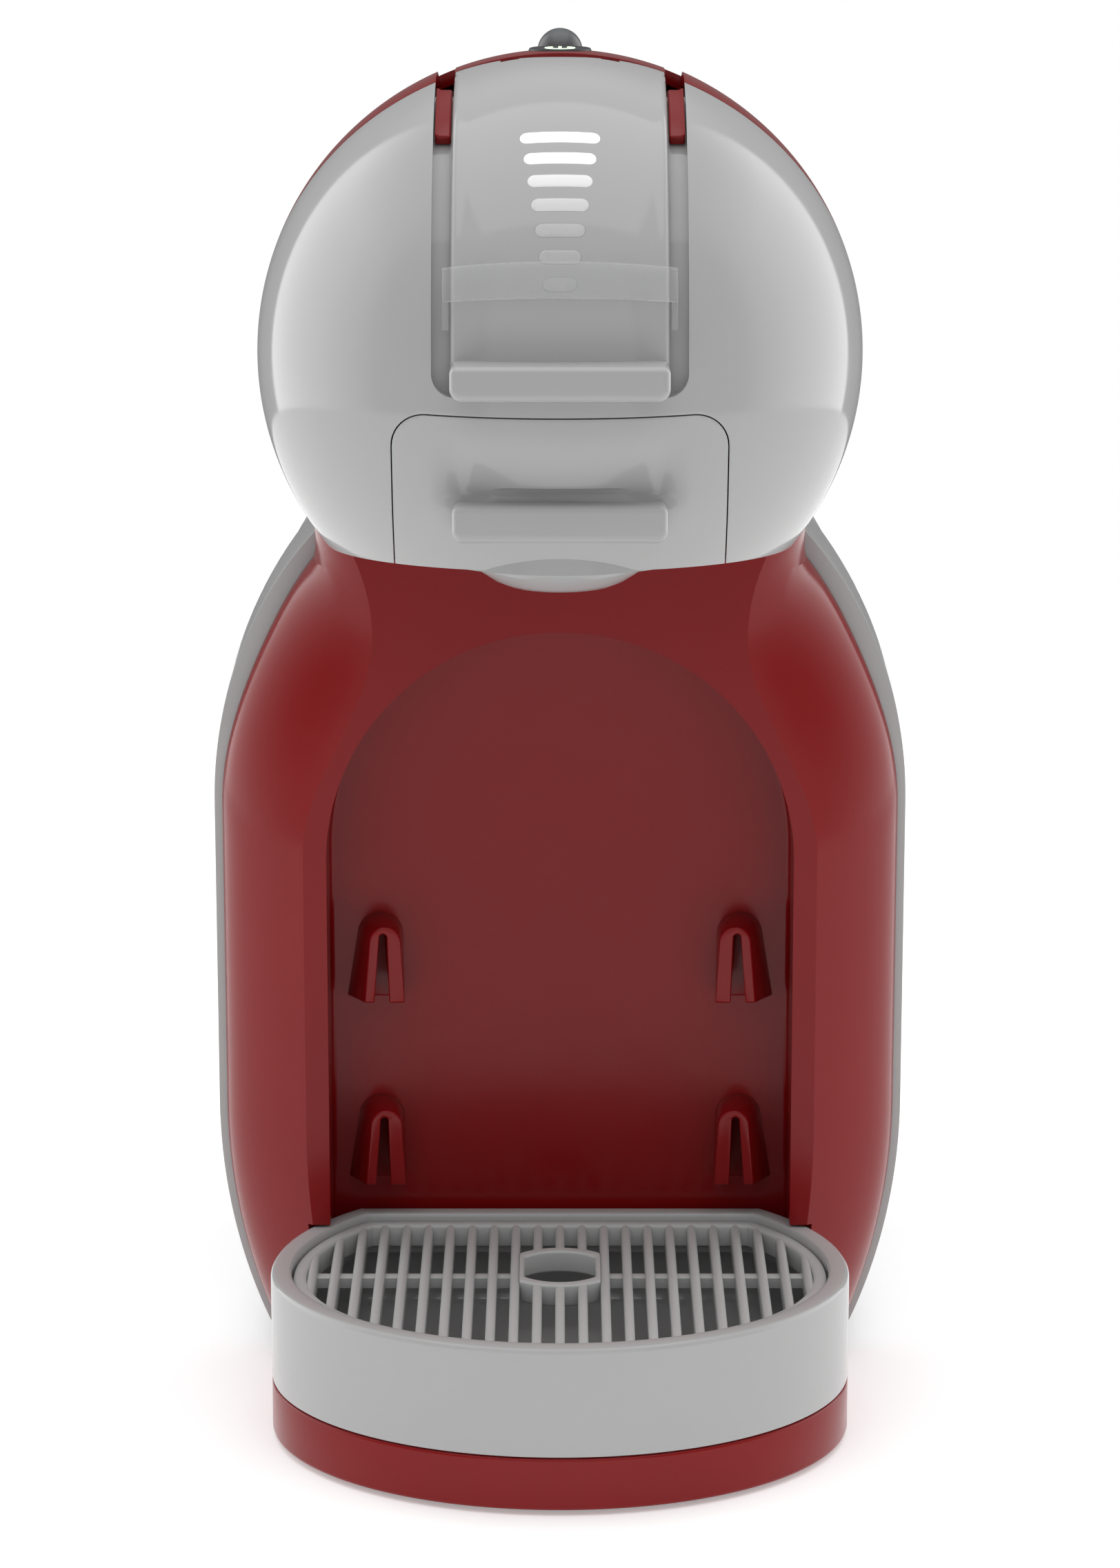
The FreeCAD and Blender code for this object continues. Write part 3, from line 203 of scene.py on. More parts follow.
def combine(piece, tool, how):
    step = piece.modifiers.new("combine", "BOOLEAN")
    step.operation = how
    step.object = tool
    step.solver = "EXACT"
    bake(piece)
    bpy.data.objects.remove(tool)
    return piece


def cut(piece, *tools):
    for tool in tools:
        combine(piece, tool, "DIFFERENCE")
    return piece


def keep(piece, tool):
    return combine(piece, tool, "INTERSECT")


def add(piece, *tools):
    for tool in tools:
        combine(piece, tool, "UNION")
    return piece


def soften(piece, width, angle=32.0, segments=3):
    """Rounds the sharp edges and shades the rest smooth."""
    step = piece.modifiers.new("soften", "BEVEL")
    step.width = width * MM
    step.segments = segments
    step.limit_method = "ANGLE"
    step.angle_limit = math.radians(angle)
    step.harden_normals = False
    step.miter_outer = "MITER_ARC"
    bake(piece)
    smooth(piece)
    return piece


def smooth(piece, angle=40.0):
    """Shades smooth across every edge flatter than the angle."""
    work = bmesh.new()
    work.from_mesh(piece.data)
    for face in work.faces:
        face.smooth = True
    for edge in work.edges:
        flat = len(edge.link_faces) == 2 and edge.calc_face_angle(0.0) < math.radians(angle)
        edge.smooth = flat
    work.to_mesh(piece.data)
    work.free()


def join_all(name, pieces):
    """Gathers closed solids of one moulding into a single mesh."""
    work = bmesh.new()
    for piece in pieces:
        work.from_mesh(piece.data)
        bpy.data.objects.remove(piece)
    mesh = bpy.data.meshes.new(name)
    work.to_mesh(mesh)
    work.free()
    whole = bpy.data.objects.new(name, mesh)
    bpy.context.scene.collection.objects.link(whole)
    return whole


# ---------------------------------------------------------------- body shape, as in the CAD sheet
BELT_HALF, BELT_LOW, BELT_HIGH = 80.0, 60.0, 131.0
SKIRT, SHOULDER = 106.0, 88.0
LEAN_START, LEAN_REACH = 172.0, 44.0
SEAM_Y, REAR_Y, BACK_Y = -15.0, 64.0, tank_high.y
FACE_HALF, WAIST_HALF, WAIST_Z, NECK_HALF = 57.4, 41.4, 174.0, 55.0


def ellipse_share(distance, reach):
    return math.sqrt(max(0.0, 1.0 - (distance / reach) ** 2))


def belt_share(level):
    if level < BELT_LOW:
        return ellipse_share(BELT_LOW - level, SKIRT)
    if level > BELT_HIGH:
        return ellipse_share(level - BELT_HIGH, SHOULDER)
    return 1.0


def ease(value):
    value = min(1.0, max(0.0, value))
    return value * value * (3.0 - 2.0 * value)


def seam_half_width(level):
    rise = ease((level - BELT_HIGH) / (WAIST_Z - BELT_HIGH))
    return max(BELT_HALF * belt_share(level) - 3.0 - 2.6 * rise, NECK_HALF)


def face_half_width_at(level):
    rise = ease((level - BELT_HIGH + 6.0) / (WAIST_Z - BELT_HIGH + 6.0))
    width = FACE_HALF - (FACE_HALF - WAIST_HALF) * rise
    if level > WAIST_Z:
        width += 0.012 * (level - WAIST_Z) ** 2
    return width * belt_share(level) if level < BELT_LOW else width


def bezier(poles, steps):
    points = []
    for step in range(steps + 1):
        t = step / steps
        shares = ((1 - t) ** 3, 3 * t * (1 - t) ** 2, 3 * t * t * (1 - t), t ** 3)
        points.append(tuple(sum(share * pole[axis] for share, pole in zip(shares, poles)) for axis in (0, 1)))
    return points


def straight(start, end, steps):
    """Points from start to end, both left out."""
    return [tuple(a + (b - a) * step / steps for a, b in zip(start, end)) for step in range(1, steps)]


def mirrored(half, front_steps, back_steps):
    """A plan outline from its left half, which runs from back to front or front to back."""
    right = [(-x, y) for x, y in reversed(half)]
    return half + straight(half[-1], right[0], front_steps) + right + straight(right[-1], half[0], back_steps)


def front_section(level, inset, back_shift=0.0):
    seam = seam_half_width(level) - inset
    face = face_half_width_at(level) - inset * 0.4
    back, front = SEAM_Y + back_shift, face_y + inset
    reach = 0.42 * math.hypot(seam - face, SEAM_Y - front)
    left = bezier([(-seam, back), (-seam + 0.2, SEAM_Y - 9.0),
                   (-face - reach * math.cos(CHEEK_TURN), front + reach * math.sin(CHEEK_TURN)), (-face, front)], 22)
    return [(x, y, level) for x, y in mirrored(left, 16, 16)]


CHEEK_TURN = math.radians(38.0)


def rear_depth(level, plane, start):
    share = ellipse_share(level - LEAN_START, LEAN_REACH) if level > LEAN_START else 1.0
    return start + (plane - start) * (0.25 + 0.75 * share)


def rear_section(level, inset, front_shift=0.0):
    half = BELT_HALF * belt_share(level) - inset
    front = SEAM_Y + gap
    back = rear_depth(level, REAR_Y, SEAM_Y) - inset
    middle = front + 0.35 * (back - front)
    left = bezier([(-half + 1.2, front - front_shift), (-half - 0.9, middle), (-half + 1.5, back - 12.0),
                   (-half + 6.0, back)], 28)
    return [(x, y, level) for x, y in mirrored(left, 12, 12)]


def tank_section(level, inset):
    half = (BELT_HALF - 2.4) * belt_share(level) - inset
    front = tank_low.y + inset
    back = rear_depth(level, BACK_Y, REAR_Y) - inset
    reach = 44.0 * (back - front) / (BACK_Y - REAR_Y)
    left = bezier([(-half + 3.0, front), (-half - 2.0, front + 0.35 * reach), (-half + 4.0, back), (0.0, back)], 32)
    right = [(-x, y) for x, y in reversed(left[:-1])]
    outline = left + right + straight(right[-1], left[0], 12)
    return [(x, y, level) for x, y in outline]


def levels_from(low, high, pitch=2.4):
    count = max(2, round((high - low) / pitch))
    return [low + (high - low) * step / count for step in range(count + 1)]


def skin(name, section, low, high, inset=0.0, **more):
    return lofted(name, [section(level, inset, **more) for level in levels_from(low, high)])


# ---------------------------------------------------------------- tools shared by several shells
def head_room_tool():
    room = ball("head_room", head_radius + gap, (0, head_y, head_z), 64)
    return keep(room, block("head_room_top", (-90, -120, head_cut - gap), (90, 60, 330)))


def oval(inset, level, rear_edge=None, round_corner=0.0):
    """Plan outline of the tray: an oval with its back cut straight."""
    centre_y, half = -67.1, tray_high.x - inset
    front, rear = centre_y - tray_low.y - inset, 60.0 - inset
    edge = (tray_high.y if rear_edge is None else rear_edge) - inset
    swing = math.asin((edge - centre_y) / rear)
    points = []
    for step in range(97):
        turn = math.pi + math.pi * step / 96
        points.append((half * math.cos(turn), centre_y + front * math.sin(turn), level))
    for step in range(1, 21):
        turn = swing * step / 20
        points.append((half * math.cos(turn), centre_y + rear * math.sin(turn), level))
    reach = half * math.cos(swing)
    points += [(reach - 2 * reach * step / 24, edge, level) for step in range(1, 24)]
    for step in range(20, 0, -1):
        turn = math.pi - swing * step / 20
        points.append((half * math.cos(turn), centre_y + rear * math.sin(turn), level))
    return points


def oval_stack(name, stations):
    return lofted(name, [oval(inset, level) for inset, level in stations])


def tray_nest_tool():
    return oval_stack("tray_nest", [(-0.6, -1.0), (-0.6, tray_high.z + 0.6)])


def arch_outline(half, low, level, steps=64):
    return [(-half, low), (half, low)] + arc((0, level), half, 0, 180, steps)


def lathe(name, profile, centre, steps=64):
    """Turns a profile of radius and height about a vertical axis."""
    rings = []
    for radius, height in profile:
        rings.append([(centre[0] + radius * math.cos(2 * math.pi * step / steps),
                       centre[1] + radius * math.sin(2 * math.pi * step / steps), height) for step in range(steps)])
    return lofted(name, rings)


def drum_point(radius, angle, x=0.0):
    """A point round the head's cross axis: the angle rises from straight ahead."""
    turn = math.radians(angle)
    return (x, head_y - radius * math.cos(turn), head_z + radius * math.sin(turn))


def swept(name, section, first, last, steps):
    """Carries a section of X and radius round the head's cross axis."""
    rings = []
    for step in range(steps + 1):
        angle = first + (last - first) * step / steps
        rings.append([drum_point(radius, angle, x) for x, radius in section])
    return lofted(name, rings)


# ---------------------------------------------------------------- red front and grey rear shells
def make_front_shell():
    shell = skin("front_shell", front_section, front_low.z, 200.0)
    inner = skin("front_inner", front_section, front_low.z - 2.0, 203.0, wall, back_shift=2.0)
    bay = plate_xz("bay_cut", arch_outline(BAY_HALF, -10.0, BAY_LEVEL), face_y - 6.0, face_y + 9.0)
    cut(shell, inner, head_room_tool(), bay, tray_nest_tool())
    soften(shell, 0.35, 44.0)
    smooth(shell, 14.0)
    return shell


def make_rear_shell():
    shell = skin("rear_body", rear_section, rear_low.z, rear_high.z)
    mouth = skin("rear_mouth", rear_section, rear_low.z - 2.0, rear_high.z - wall, 8.0, front_shift=5.0)
    inner = skin("rear_inner", rear_section, rear_low.z - 2.5, rear_high.z - wall, wall)
    cut(inner, block("rear_rim", (-90, -30, -10), (90, rear_low.y + 2.4, 320)))
    cut(shell, inner, mouth, head_room_tool())
    return soften(shell, 0.5, 28.0)


def hook(side, low):
    """One tray hook: a drafted loop, wide at the wall and narrow at its front, open below."""
    def loop(foot_out, foot_in, centre, radius, bottom, top, y):
        points = [(foot_out, bottom)] + arc((centre, top - radius), radius, 176, 4, 20) + [(foot_in, bottom)]
        return [(side * -x, y, low + z) for x, z in points]

    wall_y, near_y = bay_back + 0.6, bay_back - 11.0
    outer = lofted("hook", [loop(-48.8, -35.7, -41.0, 5.3, 0.2, 20.2, wall_y),
                            loop(-44.2, -35.1, -39.5, 3.5, 1.6, 19.3, near_y)])
    inner = lofted("hook_void", [loop(-45.0, -38.2, -41.6, 1.9, -4.0, 17.0, bay_back - 0.4),
                                 loop(-41.8, -38.3, -39.6, 0.6, -4.0, 17.8, near_y - 2.0)])
    return soften(cut(outer, inner), 0.45, 30.0)


def make_bay_liner():
    low = band_high.z + 0.6
    liner = plate_xz("cup_bay", arch_outline(BAY_HALF + wall, low, BAY_LEVEL, 96), face_y + wall + 0.08, liner_high.y)
    room = plate_xz("cup_bay_room", arch_outline(BAY_HALF, -30.0, BAY_LEVEL, 96), face_y - 4.0, bay_back)
    cut(liner, soften(room, 1.2, 40.0, 4), tray_nest_tool())
    smooth(liner)
    hooks = [hook(side, low_end) for side in (-1, 1) for low_end in (88.4 - 1.6, 45.2 - 1.6)]
    whole = join_all("cup_bay_wall", [liner] + hooks)
    smooth(whole, 35.0)
    return whole


# ---------------------------------------------------------------- base, tray and grid
def make_base_band():
    stations = [(wall, band_high.z - wall), (wall, band_low.z), (0.5, band_low.z), (0.12, band_low.z + 0.3),
                (0.0, band_low.z + 0.8), (0.0, band_high.z - 0.6), (0.08, band_high.z - 0.22), (0.35, band_high.z)]
    band = oval_stack("base_ring", stations)
    cut(band, block("plate_way", (-90, face_y - 1.0, 0.0), (90, 20, front_low.z)))
    smooth(band, 50.0)
    return band


def make_tray():
    bottom, top = tray_low.z, tray_high.z
    shelf = top - 1.6 - 5.0
    stations = [(0.35, bottom), (0.08, bottom + 0.2), (0.0, bottom + 0.6), (0.0, top - 1.2), (0.12, top - 0.6),
                (0.45, top - 0.15), (0.95, top), (3.9, top), (4.35, top - 0.12), (4.55, top - 0.5), (4.6, top - 1.0),
                (4.6, shelf), (6.6, shelf), (6.6, shelf - 2.0), (2.2, shelf - 2.0), (2.2, bottom + 4.4),
                (3.0, bottom + 2.8), (4.4, bottom + 2.4)]
    tray = oval_stack("tray_bowl", stations)
    smooth(tray, 50.0)
    return tray


def chopped(name, centre, radius, half_width, low, high):
    """A tall disc with its two sides cut flat."""
    turn = math.degrees(math.acos(half_width / radius))
    outline = arc(centre, radius, turn, 180 - turn, 32) + arc(centre, radius, 180 + turn, 360 - turn, 32)
    return plate_xy(name, outline, low, high)


def make_grid():
    top = grid_high.z
    low = grid_low.z
    centre = (0.0, -62.0)
    frame_stations = [(7.9, low), (4.9, low), (4.9, top - 0.9), (5.05, top - 0.35), (5.5, top), (7.3, top),
                      (7.75, top - 0.35), (7.9, top - 0.9)]
    rings = [oval(inset, level) for inset, level in frame_stations]
    count = len(rings[0])
    points = [point for ring in rings for point in ring]
    faces = []
    for level in range(len(rings)):
        for index in range(count):
            following, above = (index + 1) % count, (level + 1) % len(rings)
            faces.append((level * count + index, level * count + following, above * count + following,
                          above * count + index))
    ring = piece_from("grid_frame", points, faces)

    bars = []
    half = 1.05
    crown = arc((0, top - half - 0.15), half, 0, 180, 10)
    for index in range(-12, 13):
        outline = [(index * 5.0 - half, low + 0.4), (index * 5.0 + half, low + 0.4)]
        outline += [(index * 5.0 + x, z) for x, z in crown]
        bars.append(plate_xz("bar", outline, -118.0, -20.0))
    bars = join_all("grid_bars", bars)
    keep(bars, oval_stack("grid_fence", [(6.4, low - 2.0), (6.4, top + 2.0)]))
    cut(bars, chopped("hub_room", centre, 12.2, 8.6, low - 3.0, top + 3.0))
    rib = plate_yz("grid_rib", [(-63.4, low + 0.3), (-60.6, low + 0.3), (-60.6, low + 2.6), (-61.0, low + 2.9),
                                (-63.0, low + 2.9), (-63.4, low + 2.6)], 60.0)
    keep(rib, oval_stack("rib_fence", [(6.4, low - 2.0), (6.4, top + 2.0)]))
    cut(rib, chopped("hub_room", centre, 12.2, 8.6, low - 3.0, top + 3.0))
    hub_hole = chopped("hub_hole", centre, 10.2, 7.9, low - 3.0, top + 3.0)
    hub = cut(chopped("grid_hub", centre, 13.0, 9.05, low, top), hub_hole)
    soften(hub, 0.7, 34.0, 4)
    grid = join_all("tray_grille", [ring, bars, rib, hub])
    smooth(grid, 42.0)
    return grid


# ---------------------------------------------------------------- head
def side_tool(front, shift=0.0):
    """Everything behind the head's leaning seam, or in front of it."""
    tilt = math.radians(15.0)
    seam_y, seam_z = -36.7 + shift, 257.2
    along = Vector((0.0, -math.sin(tilt), math.cos(tilt)))
    back = Vector((0.0, math.cos(tilt), math.sin(tilt)))
    if front:
        back = -back
    corner = Vector((0.0, seam_y, seam_z))
    outline = [corner - along * 160, corner + along * 160, corner + along * 160 + back * 200,
               corner - along * 160 + back * 200]
    return plate_yz("side_tool", [(point.y, point.z) for point in outline], 120.0)


def under_head(name, rise=0.0):
    """Everything under the head: its bottom climbs a little towards the front."""
    low, slope = head_cut + rise, 0.05
    outline = [(-135, 100), (70, 100), (70, low), (head_y, low), (-135, low + (head_y + 135) * slope)]
    return plate_yz(name, outline, 120.0)


def head_solid(name, with_floor):
    outer = cut(ball(name, head_radius, (0, head_y, head_z), 96), under_head("under"))
    inner = ball("head_inner", head_radius - 2.8, (0, head_y, head_z), 64)
    if with_floor:
        cut(inner, under_head("under", 2.8))
        walls = block("groove_walls", (-groove_half - 2.4, -140, head_z - 3.6), (groove_half + 2.4, 40, 340))
        cut(inner, cut(walls, drum_x("groove_hollow", (head_y, head_z), channel_floor - 2.4, 80.0)))
    return cut(outer, inner)


def groove_tool(low, near, far, corner=4.6):
    return plate_xz("groove", rounded_outline(groove_half, low, 340.0, corner, 1.0), near, far)


def make_head_front():
    head = head_solid("head_face", True)
    groove = groove_tool(head_z - 1.2, -140.0, 0.0)
    cut(groove, drum_x("groove_floor", (head_y, head_z), channel_floor, 60.0))
    cut(head, side_tool(False), groove)
    soften(head, 0.8, 34.0, 4)
    mouth = rounded_outline(drawer_half + 0.3, head_cut - 10.0, 231.9, 0.0, 7.5)
    opening = plate_xz("opening", mouth, -140.0, -28.7)
    cut(head, opening)
    return soften(head, 0.28, 34.0, 2)


def make_head_collar():
    collar = head_solid("head_back", False)
    notch = groove_tool(head_z, -80.0, -20.0, 1.0)
    slot = plate_xz("slot", rounded_outline(15.0, head_z, 340.0, 1.0, 1.0), -13.6, -2.4)
    cut(collar, side_tool(True, gap), notch, slot)
    return soften(collar, 0.6, 34.0, 3)


def make_bridge():
    """The fixed crown piece: a dome behind the handle, sunken flanks beside it and two ears for its pin."""
    rear, front = -20.3, pivot.y + 4.6
    dome = keep(ball("crown_dome", corners("head_bridge")[1].z - head_z, (0, head_y, head_z), 96),
                plate_xz("dome_width", rounded_outline(handle_half, head_z, 340.0, 0.0, 0.5), front, rear))
    soften(cut(dome, drum_x("dome_hollow", (head_y, head_z), channel_floor + gap, 80.0)), 1.3, 40.0, 4)
    cut(dome, post("button_well", (0.0, button_y), 7.1, 299.0, 320.0))
    parts = [soften(dome, 0.25, 40.0, 2)]
    last = math.degrees(math.acos((head_y - rear) / -flank_radius)) if rear > head_y else 90.0
    for side in (-1, 1):
        outer_x, inner_x = side * (groove_half - gap), side * (handle_half + gap)
        section = [(inner_x, channel_floor + gap), (outer_x, channel_floor + gap),
                   (outer_x, flank_radius + 0.6), (side * 25.2, flank_radius), (inner_x, flank_radius)]
        parts.append(soften(swept("flank", section, 56.0, last, 40), 0.5, 34.0, 3))
        ear = drum_x("ear", (pivot.y, pivot.z), 2.0, 1.7, 48)
        add(ear, block("ear_web", (-1.7, pivot.y, pivot.z - 2.0), (1.7, pivot.y + 8.0, pivot.z)))
        ear.data.transform(Matrix.Translation((side * 10.7 * MM, 0.0, 0.0)))
        parts.append(soften(cut(ear, drum_x("ear_bore", (pivot.y, pivot.z), 1.24, 60.0, 32)), 0.2, 34.0, 2))
    whole = join_all("crown_bridge", parts)
    smooth(whole, 38.0)
    return whole


def make_drawer():
    low, top = head_cut, 231.6
    face = ball("drawer_face", head_radius, (0, head_y, head_z), 96)
    centre = Vector((0, head_y, head_z)) * MM
    for vert in face.data.vertices:
        x, z = vert.co.x / MM, vert.co.z / MM
        if vert.co.y > centre.y or abs(x) > 27.0 or not 211.0 < z < 229.0:
            continue
        across = ease((27.0 - abs(x)) / 6.0)
        rise = ease((z - 211.0) / 3.0) * ease((229.0 - z) / 13.0)
        vert.co += (centre - vert.co).normalized() * 2.4 * across * rise * MM
    keep(face, plate_xz("drawer_outline", rounded_outline(drawer_half, low - 4.0, top, 0.0, 7.2), -140.0, head_y))
    cut(face, ball("drawer_inner", head_radius - 6.0, (0, head_y, head_z), 64), under_head("under"))
    nook = plate_xz("nook", rounded_outline(23.4, 208.0, 216.4, 1.5, 1.8), -120.0, -93.2)
    soften(nook, 1.2, 30.0, 4)
    cut(face, nook)
    soften(face, 0.45, 34.0, 3)

    pull = plate_xz("pull", rounded_outline(22.3, 205.4, 213.3, 2.4, 1.6), -98.8, -88.0)
    soften(pull, 1.5, 30.0, 5)
    base = block("drawer_floor", (-drawer_half, -110.0, low - 4.0), (drawer_half, -30.7, low + 3.6))
    keep(base, ball("floor_ball", head_radius - 0.3, (0, head_y, head_z), 64))
    cut(base, under_head("under"), post("cup_hole", (0, CUP_Y), 27.4, low + 1.4, 230.0, 72))
    soften(base, 0.3, 34.0, 2)
    spout = lathe("spout", [(3.2, low + 1.8), (19.5, low + 1.8), (18.8, low - 0.2), (17.4, low - 1.5),
                            (14.4, low - 3.5), (11.8, low - 4.6), (10.2, low - 4.8), (4.4, low - 4.8),
                            (3.6, low - 4.5), (3.2, low - 3.8)], (0, CUP_Y), 96)
    cut(spout, block("spout_back", (-60, -41.0, 180), (60, 20, 210)))
    soften(spout, 0.3, 34.0, 2)
    cup = lathe("capsule_cup", [(27.5, low + 28.0), (27.9, low + 28.8), (28.8, low + 28.8), (29.3, low + 28.3),
                                (29.3, low + 2.2), (3.2, low + 2.2), (3.2, low + 2.8), (20.0, low + 2.8),
                                (26.2, low + 3.6), (27.3, low + 6.0)], (0, CUP_Y), 96)
    smooth(cup, 40.0)
    whole = join_all("capsule_holder", [face, pull, base, spout, cup])
    smooth(whole, 38.0)
    return whole


# ---------------------------------------------------------------- handle, lights and slider
BAR_ANGLES = [19.7 + 5.09 * (6 - index) for index in range(7)]


def pill(name, index, inner, outer, grow):
    """A rounded light window, narrower towards the lip."""
    half, tall = 8.3 - 0.79 * index + grow, 1.5 + grow
    outline = arc((half - tall, 0), tall, -90, 90, 14) + arc((-half + tall, 0), tall, 90, 270, 14)
    turn = math.radians(BAR_ANGLES[index])
    out = Vector((0, -math.cos(turn), math.sin(turn)))
    rise = Vector((0, math.sin(turn), math.cos(turn)))
    middle = Vector((0, head_y, head_z))
    rings = [[tuple(middle + out * radius + rise * v + Vector((u, 0, 0))) for u, v in outline]
             for radius in (inner, outer)]
    return lofted(name, rings)


def dome_section(half, outer, inner, edge, steps=24):
    """A band's section of X and radius, crowned like the head, with rounded outer edges."""
    def sunk(radius, x):
        return math.sqrt(radius ** 2 - x ** 2)

    rounding = arc((half - edge, 0.0), edge, 0, 90, 6)
    right = [(x, sunk(outer, half - edge) - edge + y) for x, y in rounding]
    top = [(x, sunk(outer, x)) for x, _ in straight((half - edge, 0), (edge - half, 0), steps)]
    left = [(-x, radius) for x, radius in reversed(right)]
    under = [(x, sunk(inner, x)) for x in [-half + 2 * half * step / steps for step in range(steps + 1)]]
    return right + top + left + under


def make_handle():
    half, outer, inner = handle_half, handle_radius, handle_radius - handle_thickness
    cover = swept("handle_shell", dome_section(half, outer, inner, 1.5), 0.9, 80.4, 96)
    slots = join_all("slots", [pill("slot", index, inner - 2, outer + 2, 0.04) for index in range(7)])
    cut(cover, slots)
    barrel = drum_x("handle_knuckle", (pivot.y, pivot.z), 4.0, half - 0.2, 64)
    keep(barrel, ball("knuckle_limit", outer - 0.05, (0, head_y, head_z), 64))
    for side in (-1, 1):
        pocket = drum_x("pocket", (pivot.y, pivot.z), 2.3, 2.0, 32)
        add(pocket, block("pocket_low", (-2.0, pivot.y - 2.3, pivot.z - 20), (2.0, pivot.y + 17.7, pivot.z)))
        add(pocket, block("pocket_back", (-2.0, pivot.y + 1.2, pivot.z - 1), (2.0, pivot.y + 20, pivot.z + 19)))
        pocket.data.transform(Matrix.Translation((side * 10.7 * MM, 0.0, 0.0)))
        cut(barrel, pocket)
    cut(barrel, drum_x("pin_hole", (pivot.y, pivot.z), 1.24, 60.0, 32))
    soften(barrel, 0.3, 34.0, 2)
    lip = plate_xz("handle_lip", rounded_outline(half, head_z - 0.6, head_z + 6.6, 2.6, 1.6), -108.5, -95.8)
    soften(lip, 1.9, 30.0, 6)
    whole = join_all("handle_grip", [cover, barrel, lip])
    smooth(whole, 38.0)
    return whole


def make_bars():
    inner = handle_radius - handle_thickness
    bars = []
    for index in range(7):
        window = pill("bar_window", index, inner - 0.4, handle_radius + 2.0, 0.0)
        keep(window, ball("bar_dome", handle_radius + 0.05, (0, head_y, head_z), 96))
        bars.append(soften(window, 0.2, 34.0, 2))
    section = [(-6.0, inner - 2.0), (6.0, inner - 2.0), (6.0, inner - 0.6), (-6.0, inner - 0.6)]
    strip = swept("light_guide", section, 16.0, 52.5, 40)
    whole = join_all("light_column", bars + [strip])
    smooth(whole, 38.0)
    return whole


def make_slider():
    inner, outer = handle_radius + 0.4, handle_radius + 1.7
    half_in, half_out = handle_half + 0.4, handle_half + 1.7
    middle, reach = 20.3, math.degrees(3.7 / handle_radius)
    low, edge = 59.8, 0.5

    def sunk(radius, x):
        return math.sqrt(radius ** 2 - x ** 2)

    band = [(x, sunk(outer, x)) for x in
            [half_out - edge - 2 * (half_out - edge) * step / 24 for step in range(25)]]
    band = [(half_out, low), (half_out, sunk(outer, half_out) - edge)] + band
    band += [(-half_out, sunk(outer, half_out) - edge), (-half_out, low), (-half_in, low)]
    band += [(x, sunk(inner, x)) for x in [-half_in + 2 * half_in * step / 24 for step in range(25)]]
    band += [(half_in, low)]
    bridge = swept("cup_slider", band, middle - reach, middle + reach, 10)
    arms = []
    for side in (-1, 1):
        section = [(side * half_in, low), (side * half_out, low), (side * half_out, sunk(outer, half_out) - 1.0),
                   (side * half_in, sunk(outer, half_out) - 1.0)]
        arms.append(swept("slider_arm", section, middle - reach - math.degrees(6.0 / handle_radius), middle, 10))
    add(bridge, *arms)
    return soften(bridge, 0.3, 34.0, 3)


# ---------------------------------------------------------------- crown
def make_button():
    low, high = corners("power_button")
    centre = (0.0, (low.y + high.y) / 2)
    profile = [(6.4, low.z), (6.8, low.z + 0.3), (6.8, high.z - 0.5), (6.6, high.z - 0.12), (6.2, high.z),
               (5.6, high.z - 0.01), (5.3, high.z - 0.08), (2.0, high.z - 0.1)]
    button = lathe("power_key", profile, centre, 72)
    smooth(button, 40.0)
    return button, centre, high.z - 0.08


def make_power_sign(centre, top):
    """The usual on-off sign: a broken ring with an upright stroke."""
    outer = arc(centre, 3.3, 125, 415, 40)
    inner = arc(centre, 2.6, 415, 125, 40)
    ring = plate_xy("sign_ring", outer + inner, top - 0.3, top + 0.1)
    stroke = plate_xy("sign_stroke", [(centre[0] - 0.35, centre[1] + 0.4), (centre[0] + 0.35, centre[1] + 0.4),
                                      (centre[0] + 0.35, centre[1] + 3.7), (centre[0] - 0.35, centre[1] + 3.7)],
                      top - 0.3, top + 0.1)
    return join_all("power_sign", [ring, stroke])


def make_selector():
    low, high = corners("selector_lever")
    centre = ((low.x + high.x) / 2, (low.y + high.y) / 2)
    ball_z, pivot_z = high.z - 5.0, 274.0
    profile = [(0.05, pivot_z)] + [(1.8, pivot_z), (1.8, ball_z - 5.6), (2.3, ball_z - 4.6)]
    profile += [(5.0 * math.cos(turn), ball_z + 5.0 * math.sin(turn))
                for turn in [math.radians(-62 + 151 * step / 24) for step in range(25)]]
    knob = lathe("selector_knob", profile, centre, 64)
    eye = plate_xz("selector_eye", arc((0.0, pivot_z), 4.5, 0, 360, 48)[:-1], centre[1] - 3.0, centre[1] + 3.0)
    cut(eye, plate_xz("eye_hole", arc((0.0, pivot_z), 1.55, 0, 360, 32)[:-1], centre[1] - 9.0, centre[1] + 9.0))
    soften(eye, 0.3, 34.0, 2)
    whole = join_all("selector_stick", [knob, eye])
    smooth(whole, 40.0)
    return whole


# ---------------------------------------------------------------- tank
def make_tank():
    tank = skin("reservoir", tank_section, tank_low.z, tank_high.z)
    inner = skin("reservoir_room", tank_section, tank_low.z + 2.2, tank_high.z + 4.0, 2.2)
    outlet = post("outlet", (0.0, REAR_Y + 22.0), 4.4, tank_low.z - 4.0, tank_low.z + 8.0, 40)
    cut(tank, inner, outlet)
    return soften(tank, 0.6, 30.0)


def make_lid():
    lid = skin("reservoir_lid", tank_section, lid_low.z, lid_high.z)
    room = skin("lid_room", tank_section, lid_low.z - 3.0, lid_high.z - 2.6, 2.2)
    cut(lid, room)
    return soften(lid, 0.6, 30.0)


# ---------------------------------------------------------------- materials
def node_tree(name):
    material = bpy.data.materials.new(name)
    material.use_nodes = True
    tree = material.node_tree
    shader = tree.nodes["Principled BSDF"]
    return material, tree, shader


